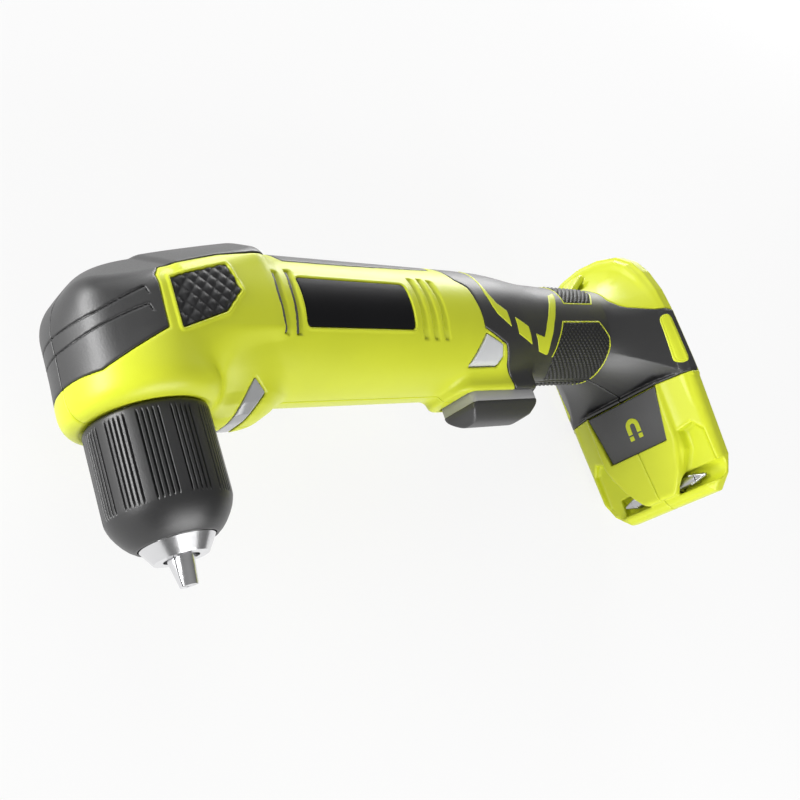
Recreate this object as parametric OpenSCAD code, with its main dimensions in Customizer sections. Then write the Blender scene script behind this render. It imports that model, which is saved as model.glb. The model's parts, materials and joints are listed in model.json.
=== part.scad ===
// Cordless right angle drill with a keyless chuck, built the way it comes apart on a bench.
// Working axes: X runs along the motor axis from the head to the battery foot, Z is up with the
// chuck pointing down, and Y crosses the split line. The origin is where the spindle axis meets the
// motor axis. lay() turns the whole tool onto its right side, which is how it is stored, with the
// mouth of the chuck at the origin.

/* [Casing] */
// Diameter of the motor barrel
barrel_d = 50.6; // [50:0.1:51]
// Diameter of the slim part of the handle
handle_d = 41.6; // [41:0.1:42]
// Wall of the casing halves
wall = 3; // [2.6:0.1:3.2]
// Thickness of the rubber overmoulds
rubber = 1.8; // [1.4:0.1:2]
// Distance from the spindle axis to the front of the head
head_front = 23.3; // [23:0.1:24]
// Half the width of the head
head_half = 24.8; // [24.4:0.1:25]

/* [Foot] */
// Distance from the spindle axis to the battery face
rim_x = 257; // [257:0.5:260]
// Half the width of the foot
foot_half = 35; // [34:0.5:36]
// Depth of the foot below the motor axis
foot_low = 84; // [83:0.5:86]
// Height of the foot above the motor axis
foot_top = 37; // [36:0.5:38]

/* [Chuck] */
// Outer diameter of the chuck sleeve
sleeve_d = 36.5; // [36.3:0.1:36.8]
// Depth of the closed jaw tips below the motor axis
jaw_tip = 78.4; // [78:0.1:79]
// Diameter of each jaw
jaw_d = 6.2; // [6:0.1:6.2]
// Depth of the chuck's mouth below the motor axis
chuck_mouth = 70.5; // [70.5:0.1:71]
// Tilt of the jaws to the spindle axis
jaw_tilt = 12; // [12:0.1:12.2]
// Number of groups of flutes on the sleeve
flute_groups = 12; // [8:1:12]
// Flutes in each group
flutes_per_group = 5; // [3:1:5]

/* [Gears] */
// Teeth of the bevel gear on the spindle
gear_teeth = 32; // [32]
// Teeth of the bevel pinion
pinion_teeth = 12; // [12]
// Module of the bevel pair
bevel_module = 1.1; // [1:0.05:1.1]
// Teeth of the sun pinion
sun_teeth = 12; // [12]
// Teeth of each planet gear
planet_teeth = 18; // [18]
// Module of the planetary stage
planet_module = 0.7; // [0.65:0.01:0.7]

/* [Motor] */
// Diameter of the motor can
motor_d = 36.4; // [35:0.1:36.6]
// Length of the motor can
motor_len = 56; // [54:1:56]

/* [Trigger and bit] */
// Length of the trigger
trigger_len = 36.5; // [35:0.5:36.5]
// Width of the trigger
trigger_w = 18; // [16:0.5:18]
// Length of the stored bit
bit_len = 44; // [40:1:50]
// Size across the flats of the stored bit
bit_af = 6.35; // [6.35]

/* [Hidden] */
$fn = 64;
lime = [0.74, 0.82, 0.13];
dark = [0.22, 0.22, 0.23];
steel = [0.75, 0.76, 0.78];
barrel_r = barrel_d / 2;
handle_r = handle_d / 2;
sleeve_r = sleeve_d / 2;
jaw_r = jaw_d / 2;
motor_r = motor_d / 2;
// Gap between pieces that move past each other, and radial play of a running fit
gap = 0.3;
play = 0.04;
// Handle sections: position, radius and height of the centre
handle_sections = [[130, barrel_r - 0.15, 0], [152, 24.9, 0], [160, 24.2, 0.2], [170, 22.7, 0.5],
  [180, 21.4, 0.8], [200, handle_r, 0.9], [223, handle_r, 0.9]];
// Crown of the head, along the split line: position, height and half width
crown = [[-17, 13.5, 10], [-8, 19, 11], [30, 26.4, 9], [50, barrel_r, 1]];
// Foot: front edge of the rim, brow below the strap, tray shield and top of the lower block
rim_edge = 250;
brow_x = 247;
brow_drop = 12.1;
strap_half = 5;
shield_x = 241;
tray_x = 242.6;
band_z = -33;
// Casing screws, as places along X and Z
screw_places = [[38, 16.5], [38, -16.5], [134.5, 16.5], [182, 13.5], [234, 16], [244, -22.5]];
screw_boss_r = 3.9;
// Trigger: front end, top inside the casing and bottom
trigger_x = 134.5;
trigger_top = -22;
trigger_low = -37;
plunger_x = 158;
// Slope of the light lens
lens_tilt = 39.7;
// Stored bit
bit_x = 250.6;
bit_z = -75;
// Leads of the light: distance from the split line, height and route
lead_y = 2.4;
lead_z = -21.4;
led_route = [[30.1, -24.3], [33, lead_z], [130, lead_z], [130, -6], [149.9, -6]];
// Bevel pair: the apex of both cones is the origin
gear_r = gear_teeth * bevel_module / 2;
pinion_r = pinion_teeth * bevel_module / 2;
cone_len = sqrt(gear_r * gear_r + pinion_r * pinion_r);
face_w = 6;
gear_cone = atan(gear_teeth / pinion_teeth);
pinion_cone = 90 - gear_cone;
// Planetary stage
ring_teeth = sun_teeth + 2 * planet_teeth;
planet_orbit = (sun_teeth + planet_teeth) * planet_module / 2;
// Places along the motor axis
bearing_x = 26;
carrier_x = 41;
planet_x = 46;
plate_x = 58.3;
motor_x = 61;
bell_x = motor_x + motor_len;

function superellipse(a, b, n, steps) = [for (i = [0:steps - 1]) let (t = 360 * i / steps)
  [a * sign(cos(t)) * pow(abs(cos(t)), 2 / n), b * sign(sin(t)) * pow(abs(sin(t)), 2 / n)]];

function polar(r, a) = [r * cos(a), r * sin(a)];

// Outline of a toothed wheel: a straight-sided tooth is 0.22 of a pitch wide at the tip
function gear_points(n, tip_r, root_r, shift = 0) = [for (i = [0:n - 1]) let (p = 360 / n)
  each [polar(root_r, (i + shift - 0.27) * p), polar(tip_r, (i + shift - 0.11) * p),
    polar(tip_r, (i + shift + 0.11) * p), polar(root_r, (i + shift + 0.27) * p)]];

// Outline of the battery foot across Y and Z, drawn in by an inset and lowered at the top
function foot_outline(d, drop) = let (w = foot_half - d, t = foot_top - d - drop, b = -foot_low + d,
    k = 1 - drop / foot_top)
  [[-w, -30], [-w + 1.5, -70], [-w + 5, b + 6], [-w + 11, b], [w - 11, b], [w - 5, b + 6],
    [w - 1.5, -70], [w, -30], [w - 1, -2], [w - 2, 9 * k], [w - 4.5, 19 * k], [w - 8, 26 * k - d],
    [w - 14, t - 5.4 * k], [w - 24, t - 1.4 * k], [0, t], [-w + 24, t - 1.4 * k],
    [-w + 14, t - 5.4 * k], [-w + 8, 26 * k - d], [-w + 4.5, 19 * k], [-w + 2, 9 * k], [-w + 1, -2]];

// Turns a part from the working axes to its stored position
module lay() { translate([0, chuck_mouth, 0]) rotate([-90, 0, 0]) children(); }

module half(side) {
  translate([-50, side < 0 ? -100 : 0, -120]) cube([400, 100, 240]);
}

// A prism across the tool with an outline drawn in X and Z
module across(points, width = 100) {
  rotate([90, 0, 0]) linear_extrude(width, center = true) polygon(points);
}

module along_x(x, r, h) { translate([x, 0, 0]) rotate([0, 90, 0]) cylinder(r = r, h = h); }

module disc_x(x, r, z) { translate([x, 0, z]) rotate([0, 90, 0]) cylinder(r = r, h = 0.02, $fn = 48); }

module slab(x, z, a, b) {
  translate([x, 0, z]) linear_extrude(0.02) polygon(superellipse(a, b, 2.4, 36));
}

module foot_slice(x, d, drop = 0) {
  translate([x, 0, 0]) rotate([90, 0, 90]) linear_extrude(0.02) polygon(foot_outline(d, drop));
}

// The part of a slice of the foot that lies above the tray
module upper_slice(x, d, drop = 0) {
  intersection() {
    foot_slice(x, d + (drop > 0 ? 1.5 : 0), drop);
    translate([200, -50, band_z + d]) cube([100, 100, 100]);
  }
}

module head_form(d) {
  hull() {
    slab(0, -27 + d, head_front - 1.8 - d, head_half - 1.4 - d);
    slab(0, -22, head_front - d, head_half - d);
    slab(0, 4, head_front - 0.2 - d, head_half - d);
    for (x = [30, 50]) disc_x(x, barrel_r - d, 0);
    for (c = crown) translate([c[0], 0, c[1] - d]) cube([1, 2 * (c[2] - d), 0.02], center = true);
  }
}

module barrel_form(d) {
  translate([49, 0, 0]) rotate([0, 90, 0]) cylinder(r = barrel_r - d, h = 88, $fn = 48);
}

module chin_form(d) {
  hull() {
    slab(28, -34 + d, 7 - d, 10 - d);
    slab(29, -26, 11.5 - d, 16 - d);
    slab(31, -12, 15 - d, 21 - d);
  }
}

module handle_form(d) {
  for (i = [0:len(handle_sections) - 2]) hull() {
    disc_x(handle_sections[i][0], handle_sections[i][1] - d, handle_sections[i][2]);
    disc_x(handle_sections[i + 1][0], handle_sections[i + 1][1] - d, handle_sections[i + 1][2]);
  }
}

// Flare from the handle to the foot, hollowed below the lanyard strap, and the rim behind it
module flare_form(d, rear) {
  hull() {
    disc_x(222, handle_r - d, 0.9);
    upper_slice(brow_x + d, d, brow_drop);
  }
  hull() {
    upper_slice(brow_x + d, d, brow_drop);
    upper_slice(rim_edge + d, d);
  }
  hull() {
    upper_slice(rim_edge + d, d);
    upper_slice(rear, d);
  }
}

// Bridge from the handle to the top of the rim, for a wrist cord
module strap(d) {
  hull() {
    translate([229, -strap_half + d, 19.2 + d]) cube([1, 2 * (strap_half - d), 2.2 - 1.1 * d]);
    translate([rim_edge + 1, -strap_half + d, 33.4 + d]) cube([1, 2 * (strap_half - d), 2.2 - 1.1 * d]);
  }
}

module lower_foot(d) {
  hull() {
    for (x = [rim_edge + d, rim_x - 0.02]) foot_slice(x, d);
  }
  hull() {
    translate([243 + d, -20 + d, -62]) cube([1, 40 - 2 * d, 29]);
    intersection() {
      foot_slice(rim_edge, d);
      translate([200, -50, -100]) cube([100, 100, 100 + band_z]);
    }
  }
}

// Panel round the tray, which stands in front of the stored bit
module shield(d) {
  hull() {
    translate([shield_x + 1 + d, -20.5 + d, -37]) cube([5.4, 41 - 2 * d, 3.5]);
    translate([shield_x + d, -20 + d, -57]) cube([6.4, 40 - 2 * d, 1]);
    translate([shield_x + 2.4 + d, -13 + d, -78]) cube([4, 26 - 2 * d, 1]);
  }
}

// The whole outside of the tool, drawn in by an inset
module outer_form(d = 0) {
  head_form(d);
  barrel_form(d);
  chin_form(d);
  handle_form(d);
  flare_form(d, rim_x - 0.02);
  lower_foot(d);
  shield(d);
  strap(d);
}

module hollow_form() {
  head_form(wall);
  barrel_form(wall);
  chin_form(wall);
  handle_form(wall);
  flare_form(wall, rim_x + 5);
}

bumper_zone = [[-40, -18.5], [-22.4, -19], [-18.5, -19.8], [-1, -11.5], [-0.4, 5.2], [2.7, 9],
  [23.4, 14], [41.8, 15.4], [45.5, 17.2], [47, 20], [47, 45], [-40, 45]];
strip_zone = [[51, 45], [51, 19], [52.5, 17.2], [118, 18.2], [121, 19.6], [122, 22], [122, 45]];
grip_zone = [[126, 45], [127, 20], [128.3, 16.6], [129, 12], [133.1, 8.2], [134.9, -3.5], [135.5, -8.2],
  [148.4, -13.6], [151.6, -19.6], [162.4, -23.4], [163, -45], [232, -45], [241, -34.5], [268, -31.5],
  [268, -2.5], [247, -0.6], [236.5, 3.3], [233.7, 5.3], [231, 9], [231.5, 13.5], [229, 24], [228, 45]];
pad_zone = [[3.3, 4.1], [23.9, 9.7], [26.2, 0.7], [19.4, -6.4], [3.2, -11.7]];
tray_zone = [[-18.6, -36], [18.6, -36], [15.3, -56], [-15.3, -56]];
selector_outline = [[135.2, -10.3], [145.7, -14], [147.4, -18.1], [146, -20], [128.8, -20.1]];

// A skin of the outside, of a given thickness, inside a zone
module skin(zone, depth, proud = 0) {
  intersection() {
    difference() {
      outer_form(-proud);
      outer_form(depth);
    }
    across(zone);
  }
}

module trigger_outline(grow, h) {
  hull() {
    for (x = [trigger_x + 3, trigger_x + trigger_len - 4], y = [-1, 1])
      translate([x, y * (trigger_w / 2 - 3.2), 0]) cylinder(r = 3.2 + grow, h = h, $fn = 32);
  }
}

// The band that the light lens fills, sloped down towards the chuck
module lens_band(grow) {
  translate([27.4, 0, -29.4]) rotate([0, lens_tilt, 0])
    cube([4.7 + 2 * grow, 60, 17 + 2 * grow], center = true);
}

module screw_row() {
  for (p = screw_places) translate([p[0], 0, p[1]]) rotate([-90, 0, 0]) children();
}

module vent(x1, z1, x2, z2) {
  hull() {
    for (p = [[x1, z1], [x2, z2]]) translate([p[0], 0, p[1]]) rotate([90, 0, 0])
      cylinder(r = 0.9, h = 80, center = true, $fn = 16);
  }
}

// Inner ribs that carry the gearbox and the motor, notched for the leads of the light
module ribs() {
  for (r = [[44, 20.7], [54, 20.7], [68, motor_r + 0.2], [94, motor_r + 0.2]]) difference() {
    along_x(r[0], barrel_r - 1, 2);
    along_x(r[0] - 1, r[1], 4);
    translate([r[0] - 1, -lead_y - 0.9, -barrel_r + wall]) cube([4, 2 * lead_y + 1.8, 6]);
  }
}

// Groove of the stored bit, a finger recess at each end and the pocket of its clip
module bit_channel() {
  translate([bit_x - 4, -50, bit_z - 4]) cube([8, 100, 8]);
  for (s = [0, 1]) mirror([0, s, 0]) hull() {
    translate([shield_x - 6, 34, bit_z - 3.5]) cube([20, 24, 14]);
    translate([bit_x - 4, 15, bit_z - 4]) cube([8, 21, 12]);
  }
  translate([bit_x - 4.4, -5.1, bit_z + 3]) cube([8.8, 10.2, 4.7]);
}

module casing() {
  difference() {
    union() {
      difference() {
        outer_form();
        hollow_form();
      }
      intersection() {
        union() {
          ribs();
          screw_row() cylinder(r = screw_boss_r, h = 60, center = true, $fn = 24);
        }
        outer_form(rubber + 0.4);
      }
    }
    skin(bumper_zone, rubber, 1);
    skin(strip_zone, rubber, 1);
    skin(grip_zone, rubber, 1);
    translate([0, 0, -60]) cylinder(r = 15.6, h = 40);
    translate([0, 0, -60]) cylinder(r = sleeve_r + 1.2, h = 33);
    intersection() {
      lens_band(0.1);
      difference() {
        chin_form(-1);
        chin_form(3.2);
      }
    }
    difference() {
      across([[49.8, -9.9], [98.7, -9.9], [98.7, 7.5], [49.8, 7.5]]);
      along_x(40, barrel_r - 1, 70);
    }
    for (s = [-1, 1]) translate([0, s * 35, 0])
      rotate([90, 0, 0]) linear_extrude(52.4, center = true) offset(delta = gap + 0.1) polygon(selector_outline);
    translate([0, 0, -60]) trigger_outline(gap + 0.1, 44);
    vent(39, 6.7, 43, -12.1);
    vent(45.1, 7.7, 47.6, -12.7);
    for (x = [102, 107.3, 112.7]) vent(x, 10, x + 1.3, -12.3);
    bit_channel();
    translate([tray_x - 10, 0, 0]) rotate([90, 0, 90]) linear_extrude(12.2) offset(delta = 0.1) polygon(tray_zone);
    translate([tray_x + 2, -10.1, -52.1]) cube([3.4, 20.2, 12.2]);
    screw_row() {
      cylinder(r = 1.5, h = 22, center = true, $fn = 16);
      translate([0, 0, 8.9]) cylinder(r = 3.1, h = 40, $fn = 24);
    }
  }
}

module left_housing() {
  color(lime) lay() intersection() {
    casing();
    half(-1);
  }
}

module right_housing() {
  color(lime) lay() intersection() {
    casing();
    half(1);
  }
}

module left_bumper() {
  color(dark) lay() intersection() {
    skin(bumper_zone, rubber);
    half(-1);
  }
}

module right_bumper() {
  color(dark) lay() intersection() {
    skin(bumper_zone, rubber);
    half(1);
  }
}

module top_strip(side) {
  intersection() {
    skin(strip_zone, rubber);
    half(side);
  }
}

module left_top_strip() {
  color(dark) lay() top_strip(-1);
}

module right_top_strip() {
  color(dark) lay() top_strip(1);
}

module grip(side) {
  intersection() {
    difference() {
      skin(grip_zone, rubber);
      translate([0, 0, -60]) trigger_outline(gap + 0.1, 44);
      translate([rim_x, -60, -60]) cube([20, 120, 120]);
      screw_row() translate([0, 0, 8.9]) cylinder(r = 3.1, h = 40, $fn = 24);
    }
    half(side);
  }
}

module left_grip() {
  color(dark) lay() grip(-1);
}

module right_grip() {
  color(dark) lay() grip(1);
}

module head_pads() {
  color([0.15, 0.15, 0.16]) lay() skin(pad_zone, 0, 0.7);
}

module side_plates() {
  color([0.05, 0.05, 0.05]) lay() intersection() {
    difference() {
      along_x(49, barrel_r + 0.4, 51);
      along_x(48, barrel_r - 0.9, 53);
    }
    across([[50, -9.7], [98.5, -9.7], [98.5, 7.3], [50, 7.3]]);
  }
}

module side_badges() {
  color(lime) lay() intersection() {
    difference() {
      outer_form(-0.5);
      outer_form(0);
    }
    for (s = [-1, 1]) hull() {
      for (z = [-8.4, -23]) translate([249.4, s * 40, z]) rotate([90, 0, 0])
        cylinder(r = 4, h = 30, center = true, $fn = 24);
    }
  }
}

module led_lens() {
  color([0.9, 0.92, 0.92]) lay() intersection() {
    lens_band(0);
    difference() {
      chin_form(0);
      chin_form(2.6);
      translate([0, 0, -60]) cylinder(r = sleeve_r + 1.2, h = 33);
    }
  }
}

module led_board() {
  color([0.1, 0.4, 0.2]) lay() translate([29.5, 0, -25]) rotate([0, lens_tilt, 0])
    cube([5, 12, 1.6], center = true);
}

module led_leads() {
  color([0.7, 0.1, 0.1]) lay() for (s = [-1, 1]) translate([0, s * lead_y, 0]) wire(led_route, 0.6);
}

module gear_case() {
  color([0.66, 0.67, 0.68]) lay() difference() {
    union() {
      rotate_extrude() polygon([[0, -26.8], [15.2, -26.8], [15.2, -23.6], [19.9, -23.6], [19.9, 1],
        [10.5, 12.6], [0, 12.6]]);
      along_x(10, 13.2, 24);
    }
    rotate_extrude() polygon([[0, -15], [18.4, -15], [18.4, 0.5], [9.5, 5.5], [0, 5.5]]);
    translate([0, 0, -30]) cylinder(r = 14.02, h = 12.5);
    translate([0, 0, -20]) cylinder(r = 12, h = 6);
    translate([0, 0, 5]) cylinder(r = 8.02, h = 6);
    along_x(5, 9.5, 22);
    along_x(bearing_x, 11.02, 7.1);
    along_x(bearing_x, 8, 20);
  }
}

module bearing(bore_r, outer_r, w) {
  difference() {
    cylinder(r = outer_r, h = w);
    translate([0, 0, -1]) cylinder(r = bore_r, h = w + 2);
    for (z = [-0.4, w - 0.4]) translate([0, 0, z]) difference() {
      cylinder(r = outer_r - (outer_r - bore_r) * 0.3, h = 0.8);
      translate([0, 0, -1]) cylinder(r = bore_r + (outer_r - bore_r) * 0.3, h = 3);
    }
  }
}

module spindle_lower_bearing() {
  color(steel) lay() translate([0, 0, -25.5]) bearing(6 + play, 14, 8);
}

module spindle_upper_bearing() {
  color(steel) lay() translate([0, 0, 6]) bearing(4 + play, 8, 5);
}

module pinion_bearing() {
  color(steel) lay() translate([bearing_x, 0, 0]) rotate([0, 90, 0]) bearing(5 + play, 11, 7);
}

module spindle() {
  color(steel) lay() rotate_extrude() polygon([[0, 10.6], [4, 10.6], [4, 5.5], [5, 5.5], [5, -15],
    [6, -15], [6, -27.2], [9, -27.2], [9, -30], [4.76, -30], [4.76, -36], [2, -36], [2, -31],
    [0, -31]]);
}

// One straight bevel tooth, tapering to the apex of the cone at the origin
module bevel_tooth(cone) {
  pitch = PI * bevel_module;
  translate([cone_len * sin(cone), 0, cone_len * cos(cone)]) rotate([0, 180 + cone, 0])
    linear_extrude(face_w, scale = (cone_len - face_w) / cone_len)
      polygon([[1.25 * bevel_module, -0.29 * pitch], [1.25 * bevel_module, 0.29 * pitch],
        [-0.85 * bevel_module, 0.11 * pitch], [-0.85 * bevel_module, -0.11 * pitch]]);
}

// Bevel wheel about Z, apex at the origin, opening towards +Z
module bevel_wheel(teeth, cone, bore_r, hub_r, hub_z, shift) {
  ded = 1.15 * bevel_module;
  k = (cone_len - face_w) / cone_len;
  root = [cone_len * sin(cone) - ded * cos(cone), cone_len * cos(cone) + ded * sin(cone)];
  for (i = [0:teeth - 1]) rotate([0, 0, (i + shift) * 360 / teeth]) bevel_tooth(cone);
  rotate_extrude() polygon([[bore_r, root[1] * k], root * k, root, [root[0], root[1] + 2.4],
    [hub_r, root[1] + 2.4], [hub_r, hub_z], [bore_r, hub_z]]);
}

module bevel_gear() {
  color(steel) lay() rotate([180, 0, 0]) bevel_wheel(gear_teeth, gear_cone, 5, 9, 14.6, 0);
}

module bevel_pinion() {
  color(steel) lay() {
    rotate([0, 90, 0]) bevel_wheel(pinion_teeth, pinion_cone, 3, 5, 24, 0.5);
    along_x(23.9, 5, 21.1);
    along_x(12.4, 3, 12);
  }
}

// Axis of jaw k, with s measured from the closed tip
module jaw_axis(k) {
  rotate([0, 0, -98 + 120 * k]) translate([-0.7, 0, -jaw_tip]) rotate([0, jaw_tilt, 0]) children();
}

module jaw(k) {
  color(steel) lay() intersection() {
    jaw_axis(k) translate([0, 0, -6]) cylinder(r = jaw_r, h = 27);
    rotate([0, 0, -98 + 120 * k]) translate([0.18, 0, -jaw_tip]) linear_extrude(40)
      polygon([[0, 0], [30, 30 * tan(60)], [30, -30 * tan(60)]]);
  }
}

module jaw_1() { jaw(0); }

module jaw_2() { jaw(1); }

module jaw_3() { jaw(2); }

module chuck_body() {
  color(steel) lay() difference() {
    rotate_extrude() polygon([[0, -30.2], [16, -30.2], [16, -51], [8.6, -51], [8.6, -58], [15.5, -58],
      [15, -59.3], [12.7, -63], [10.8, -64.6], [10.8, -66.1], [8, -chuck_mouth], [0, -chuck_mouth]]);
    translate([0, 0, -80]) cylinder(r = 5.2, h = 30);
    translate([0, 0, -60]) cylinder(r = 3.5, h = 20);
    translate([0, 0, -60]) cylinder(r = 2.1, h = 40);
    translate([0, 0, -36]) cylinder(r = 4.8, h = 10);
    for (k = [0:2]) jaw_axis(k) translate([0, 0, -5]) cylinder(r = jaw_r + 0.08, h = 60);
  }
}

module chuck_screw() {
  color(steel) lay() {
    translate([0, 0, -43]) cylinder(r = 3.2, h = 2.9);
    translate([0, 0, -41]) cylinder(r = 1.95, h = 9.5);
  }
}

module chuck_nut() {
  color([0.5, 0.5, 0.52]) lay() rotate_extrude() polygon([[8.9, -57.7], [15.5, -57.7],
    [sleeve_r - 1.97, -54.9], [sleeve_r - 1.97, -51.3], [8.9, -51.3]]);
}

module fluted(r, depth) {
  step = 4.6;
  polygon([for (g = [0:flute_groups - 1], i = [0:flutes_per_group - 1])
    let (a = g * 360 / flute_groups + (i - (flutes_per_group - 1) / 2) * step)
    each [polar(r, a - 1.1), polar(r - depth, a - 0.6), polar(r - depth, a + 0.6),
      polar(r, a + 1.1)]]);
}

module chuck_sleeve() {
  color([0.12, 0.12, 0.12]) lay() difference() {
    union() {
      translate([0, 0, -54]) linear_extrude(22.6) fluted(sleeve_r - 0.15, 0.5);
      rotate_extrude() polygon([[10, -29.6], [17.6, -29.6], [sleeve_r, -30.3],
        [sleeve_r, -31.5], [12, -31.5], [12, -53.9], [sleeve_r, -53.9], [sleeve_r, -56],
        [17.2, -59.6], [14.8, -63.3], [11.8, -66], [10, -66]]);
    }
    rotate_extrude() polygon([[0, -29], [16.3, -29], [16.3, -55], [15.4, -59.4], [13.1, -63.2],
      [11.15, -64.9], [11.15, -67], [0, -67]]);
  }
}

module planet_carrier() {
  color([0.6, 0.6, 0.62]) lay() difference() {
    along_x(carrier_x, planet_orbit + 2.7, 4);
    along_x(carrier_x - 1, 5, 6);
    for (k = [0:2]) rotate([120 * k, 0, 0]) translate([carrier_x - 1, planet_orbit, 0])
      rotate([0, 90, 0]) cylinder(r = 2, h = 6);
  }
}

module planet_pins() {
  color(steel) lay() for (k = [0:2]) rotate([120 * k, 0, 0]) translate([carrier_x, planet_orbit, 0])
    rotate([0, 90, 0]) cylinder(r = 2, h = 16);
}

// A round wire through points given as X and Z
module wire(points, r) {
  for (i = [0:len(points) - 2]) {
    step = points[i + 1] - points[i];
    translate([points[i][0], 0, points[i][1]]) rotate([0, atan2(step[0], step[1]), 0])
      cylinder(r = r, h = norm(step), $fn = 16);
  }
  for (i = [1:len(points) - 2]) translate([points[i][0], 0, points[i][1]]) sphere(r = r, $fn = 16);
}

// A spur wheel along X
module spur(x, w, teeth, bore_r, shift) {
  r = teeth * planet_module / 2;
  translate([x, 0, 0]) rotate([90, 0, 90]) difference() {
    linear_extrude(w) polygon(gear_points(teeth, r + 0.85 * planet_module, r - 1.15 * planet_module, shift));
    translate([0, 0, -1]) cylinder(r = bore_r, h = w + 2);
  }
}

module planet_gear(k) {
  color([0.7, 0.7, 0.72]) lay() rotate([120 * k, 0, 0]) translate([0, planet_orbit, 0])
    spur(planet_x, 9, planet_teeth, 2 + play, 0.5);
}

module planet_gear_1() { planet_gear(0); }

module planet_gear_2() { planet_gear(1); }

module planet_gear_3() { planet_gear(2); }

module ring_gear() {
  r = ring_teeth * planet_module / 2;
  color([0.55, 0.55, 0.57]) lay() translate([carrier_x + 1, 0, 0]) rotate([90, 0, 90]) difference() {
    cylinder(r = 20.5, h = 16);
    translate([0, 0, -1]) linear_extrude(18)
      polygon(gear_points(ring_teeth, r - 0.85 * planet_module, r + 1.15 * planet_module));
  }
}

module gearbox_plate() {
  color([0.6, 0.6, 0.6]) lay() difference() {
    along_x(plate_x, 20.5, 2.4);
    along_x(plate_x - 1, 7, 5);
  }
}

module sun_pinion() {
  color(steel) lay() spur(planet_x, 10, sun_teeth, 1.6, 0);
}

module motor_can() {
  color([0.62, 0.63, 0.65]) lay() difference() {
    along_x(motor_x, motor_r, motor_len);
    along_x(motor_x + 2, motor_r - 1.2, motor_len);
    along_x(motor_x - 1, 5, 5);
    for (a = [0:60:300]) rotate([a + 30, 0, 0]) translate([motor_x - 1, 11, 0]) rotate([0, 90, 0])
      cylinder(r = 2.5, h = 5);
  }
}

module motor_magnets() {
  color([0.25, 0.25, 0.27]) lay() intersection() {
    difference() {
      along_x(motor_x + 7, motor_r - 1.2, 40);
      along_x(motor_x + 6, 14.2, 42);
    }
    for (s = [-1, 1]) translate([motor_x, s > 0 ? 5 : -25, -12]) cube([50, 20, 24]);
  }
}

module motor_end_bell() {
  color([0.1, 0.1, 0.1]) lay() difference() {
    along_x(bell_x, motor_r, 9);
    along_x(bell_x - 1, 14, 6);
    along_x(bell_x, 3.5, 8);
    for (s = [-1, 1]) translate([bell_x + 6.4, s * 10, 4]) cube([8, 3, 3], center = true);
  }
}

module bush(x, w, outer_r) {
  difference() {
    along_x(x, outer_r, w);
    along_x(x - 1, 1.6 + play, w + 2);
  }
}

module front_bush() {
  color([0.72, 0.55, 0.3]) lay() bush(motor_x, 3, 5);
}

module rear_bush() {
  color([0.72, 0.55, 0.3]) lay() bush(bell_x + 5, 3, 3.5);
}

module armature() {
  color([0.5, 0.42, 0.36]) lay() {
    along_x(planet_x, 1.6, bell_x + 7.6 - planet_x);
    difference() {
      along_x(motor_x + 9, 13.6, 36);
      for (a = [0:72:288]) rotate([a, 0, 0]) translate([motor_x + 8, 0, 10.6]) cube([38, 3, 8]);
    }
    along_x(motor_x + 6.8, 10.5, 41.4);
  }
}

module commutator() {
  color([0.75, 0.45, 0.25]) lay() difference() {
    along_x(motor_x + 49, 5, 7);
    along_x(motor_x + 48, 1.6, 9);
  }
}

module cooling_fan() {
  color([0.15, 0.15, 0.15]) lay() difference() {
    union() {
      along_x(motor_x + 3.6, 4, 3);
      along_x(motor_x + 5.6, 15.4, 1);
      for (a = [0:40:320]) rotate([a, 0, 0]) translate([motor_x + 3.6, -0.5, 3]) cube([2.2, 1, 12]);
    }
    along_x(motor_x, 1.6, 10);
  }
}

module brushes() {
  color([0.12, 0.12, 0.13]) lay() for (s = [-1, 1])
    translate([motor_x + 52.5, s * 8, 0]) cube([4, 5.2, 3], center = true);
}

module motor_leads() {
  color([0.7, 0.12, 0.1]) lay() for (s = [-1, 1]) translate([bell_x + 2.6, s * 10, 4])
    rotate([0, 90, 0]) cylinder(r = 1, h = 30.2, $fn = 16);
}

module trigger() {
  color([0.45, 0.46, 0.47]) lay() {
    difference() {
      translate([0, 0, trigger_low]) trigger_outline(0, trigger_top - trigger_low);
      for (s = [-1, 1]) translate([trigger_x + 4, s * (trigger_w / 2 + 3), -33.6])
        rotate([0, 90, 0]) cylinder(r = 4.6, h = trigger_len);
    }
    translate([plunger_x, 0, trigger_top - 1]) cylinder(r = 2.5, h = 13);
  }
}

// Compression spring round the plunger, as one tube along a helix
spring_turns = 5;
spring_rings = 8;
spring_r = 4.2;
spring_wire = 0.45;
function spring_point(i, a) = let (t = 360 * i / spring_rings, r = spring_r + spring_wire * cos(a))
  [r * cos(t), r * sin(t), 9.0 * i / (spring_turns * spring_rings) + spring_wire * sin(a)];

module trigger_spring() {
  n = spring_turns * spring_rings;
  pts = [for (i = [0:n], j = [0:5]) spring_point(i, -60 * j)];
  sides = [for (i = [0:n - 1], j = [0:5]) let (a = 6 * i + j, b = 6 * i + (j + 1) % 6)
    each [[a, b, b + 6], [a, b + 6, a + 6]]];
  ends = [for (j = [1:4]) each [[0, j + 1, j], [6 * n, 6 * n + j, 6 * n + j + 1]]];
  color(steel) lay() translate([plunger_x, 0, trigger_top + 0.5]) polyhedron(pts, concat(sides, ends));
}

module switch_body() {
  color([0.1, 0.1, 0.1]) lay() difference() {
    translate([150, -10.5, -12]) cube([28, 21, 21]);
    translate([plunger_x, 0, -13]) cylinder(r = 2.8, h = 10);
  }
}

module direction_selector() {
  color([0.8, 0.81, 0.82]) lay() {
    intersection() {
      along_x(120, barrel_r + 0.3, 40);
      for (s = [-1, 1]) translate([0, s * 20, 0]) rotate([90, 0, 0])
        linear_extrude(14, center = true) polygon(selector_outline);
    }
    translate([136, -14, -17]) cube([8.6, 28, 5.2]);
  }
}

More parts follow.
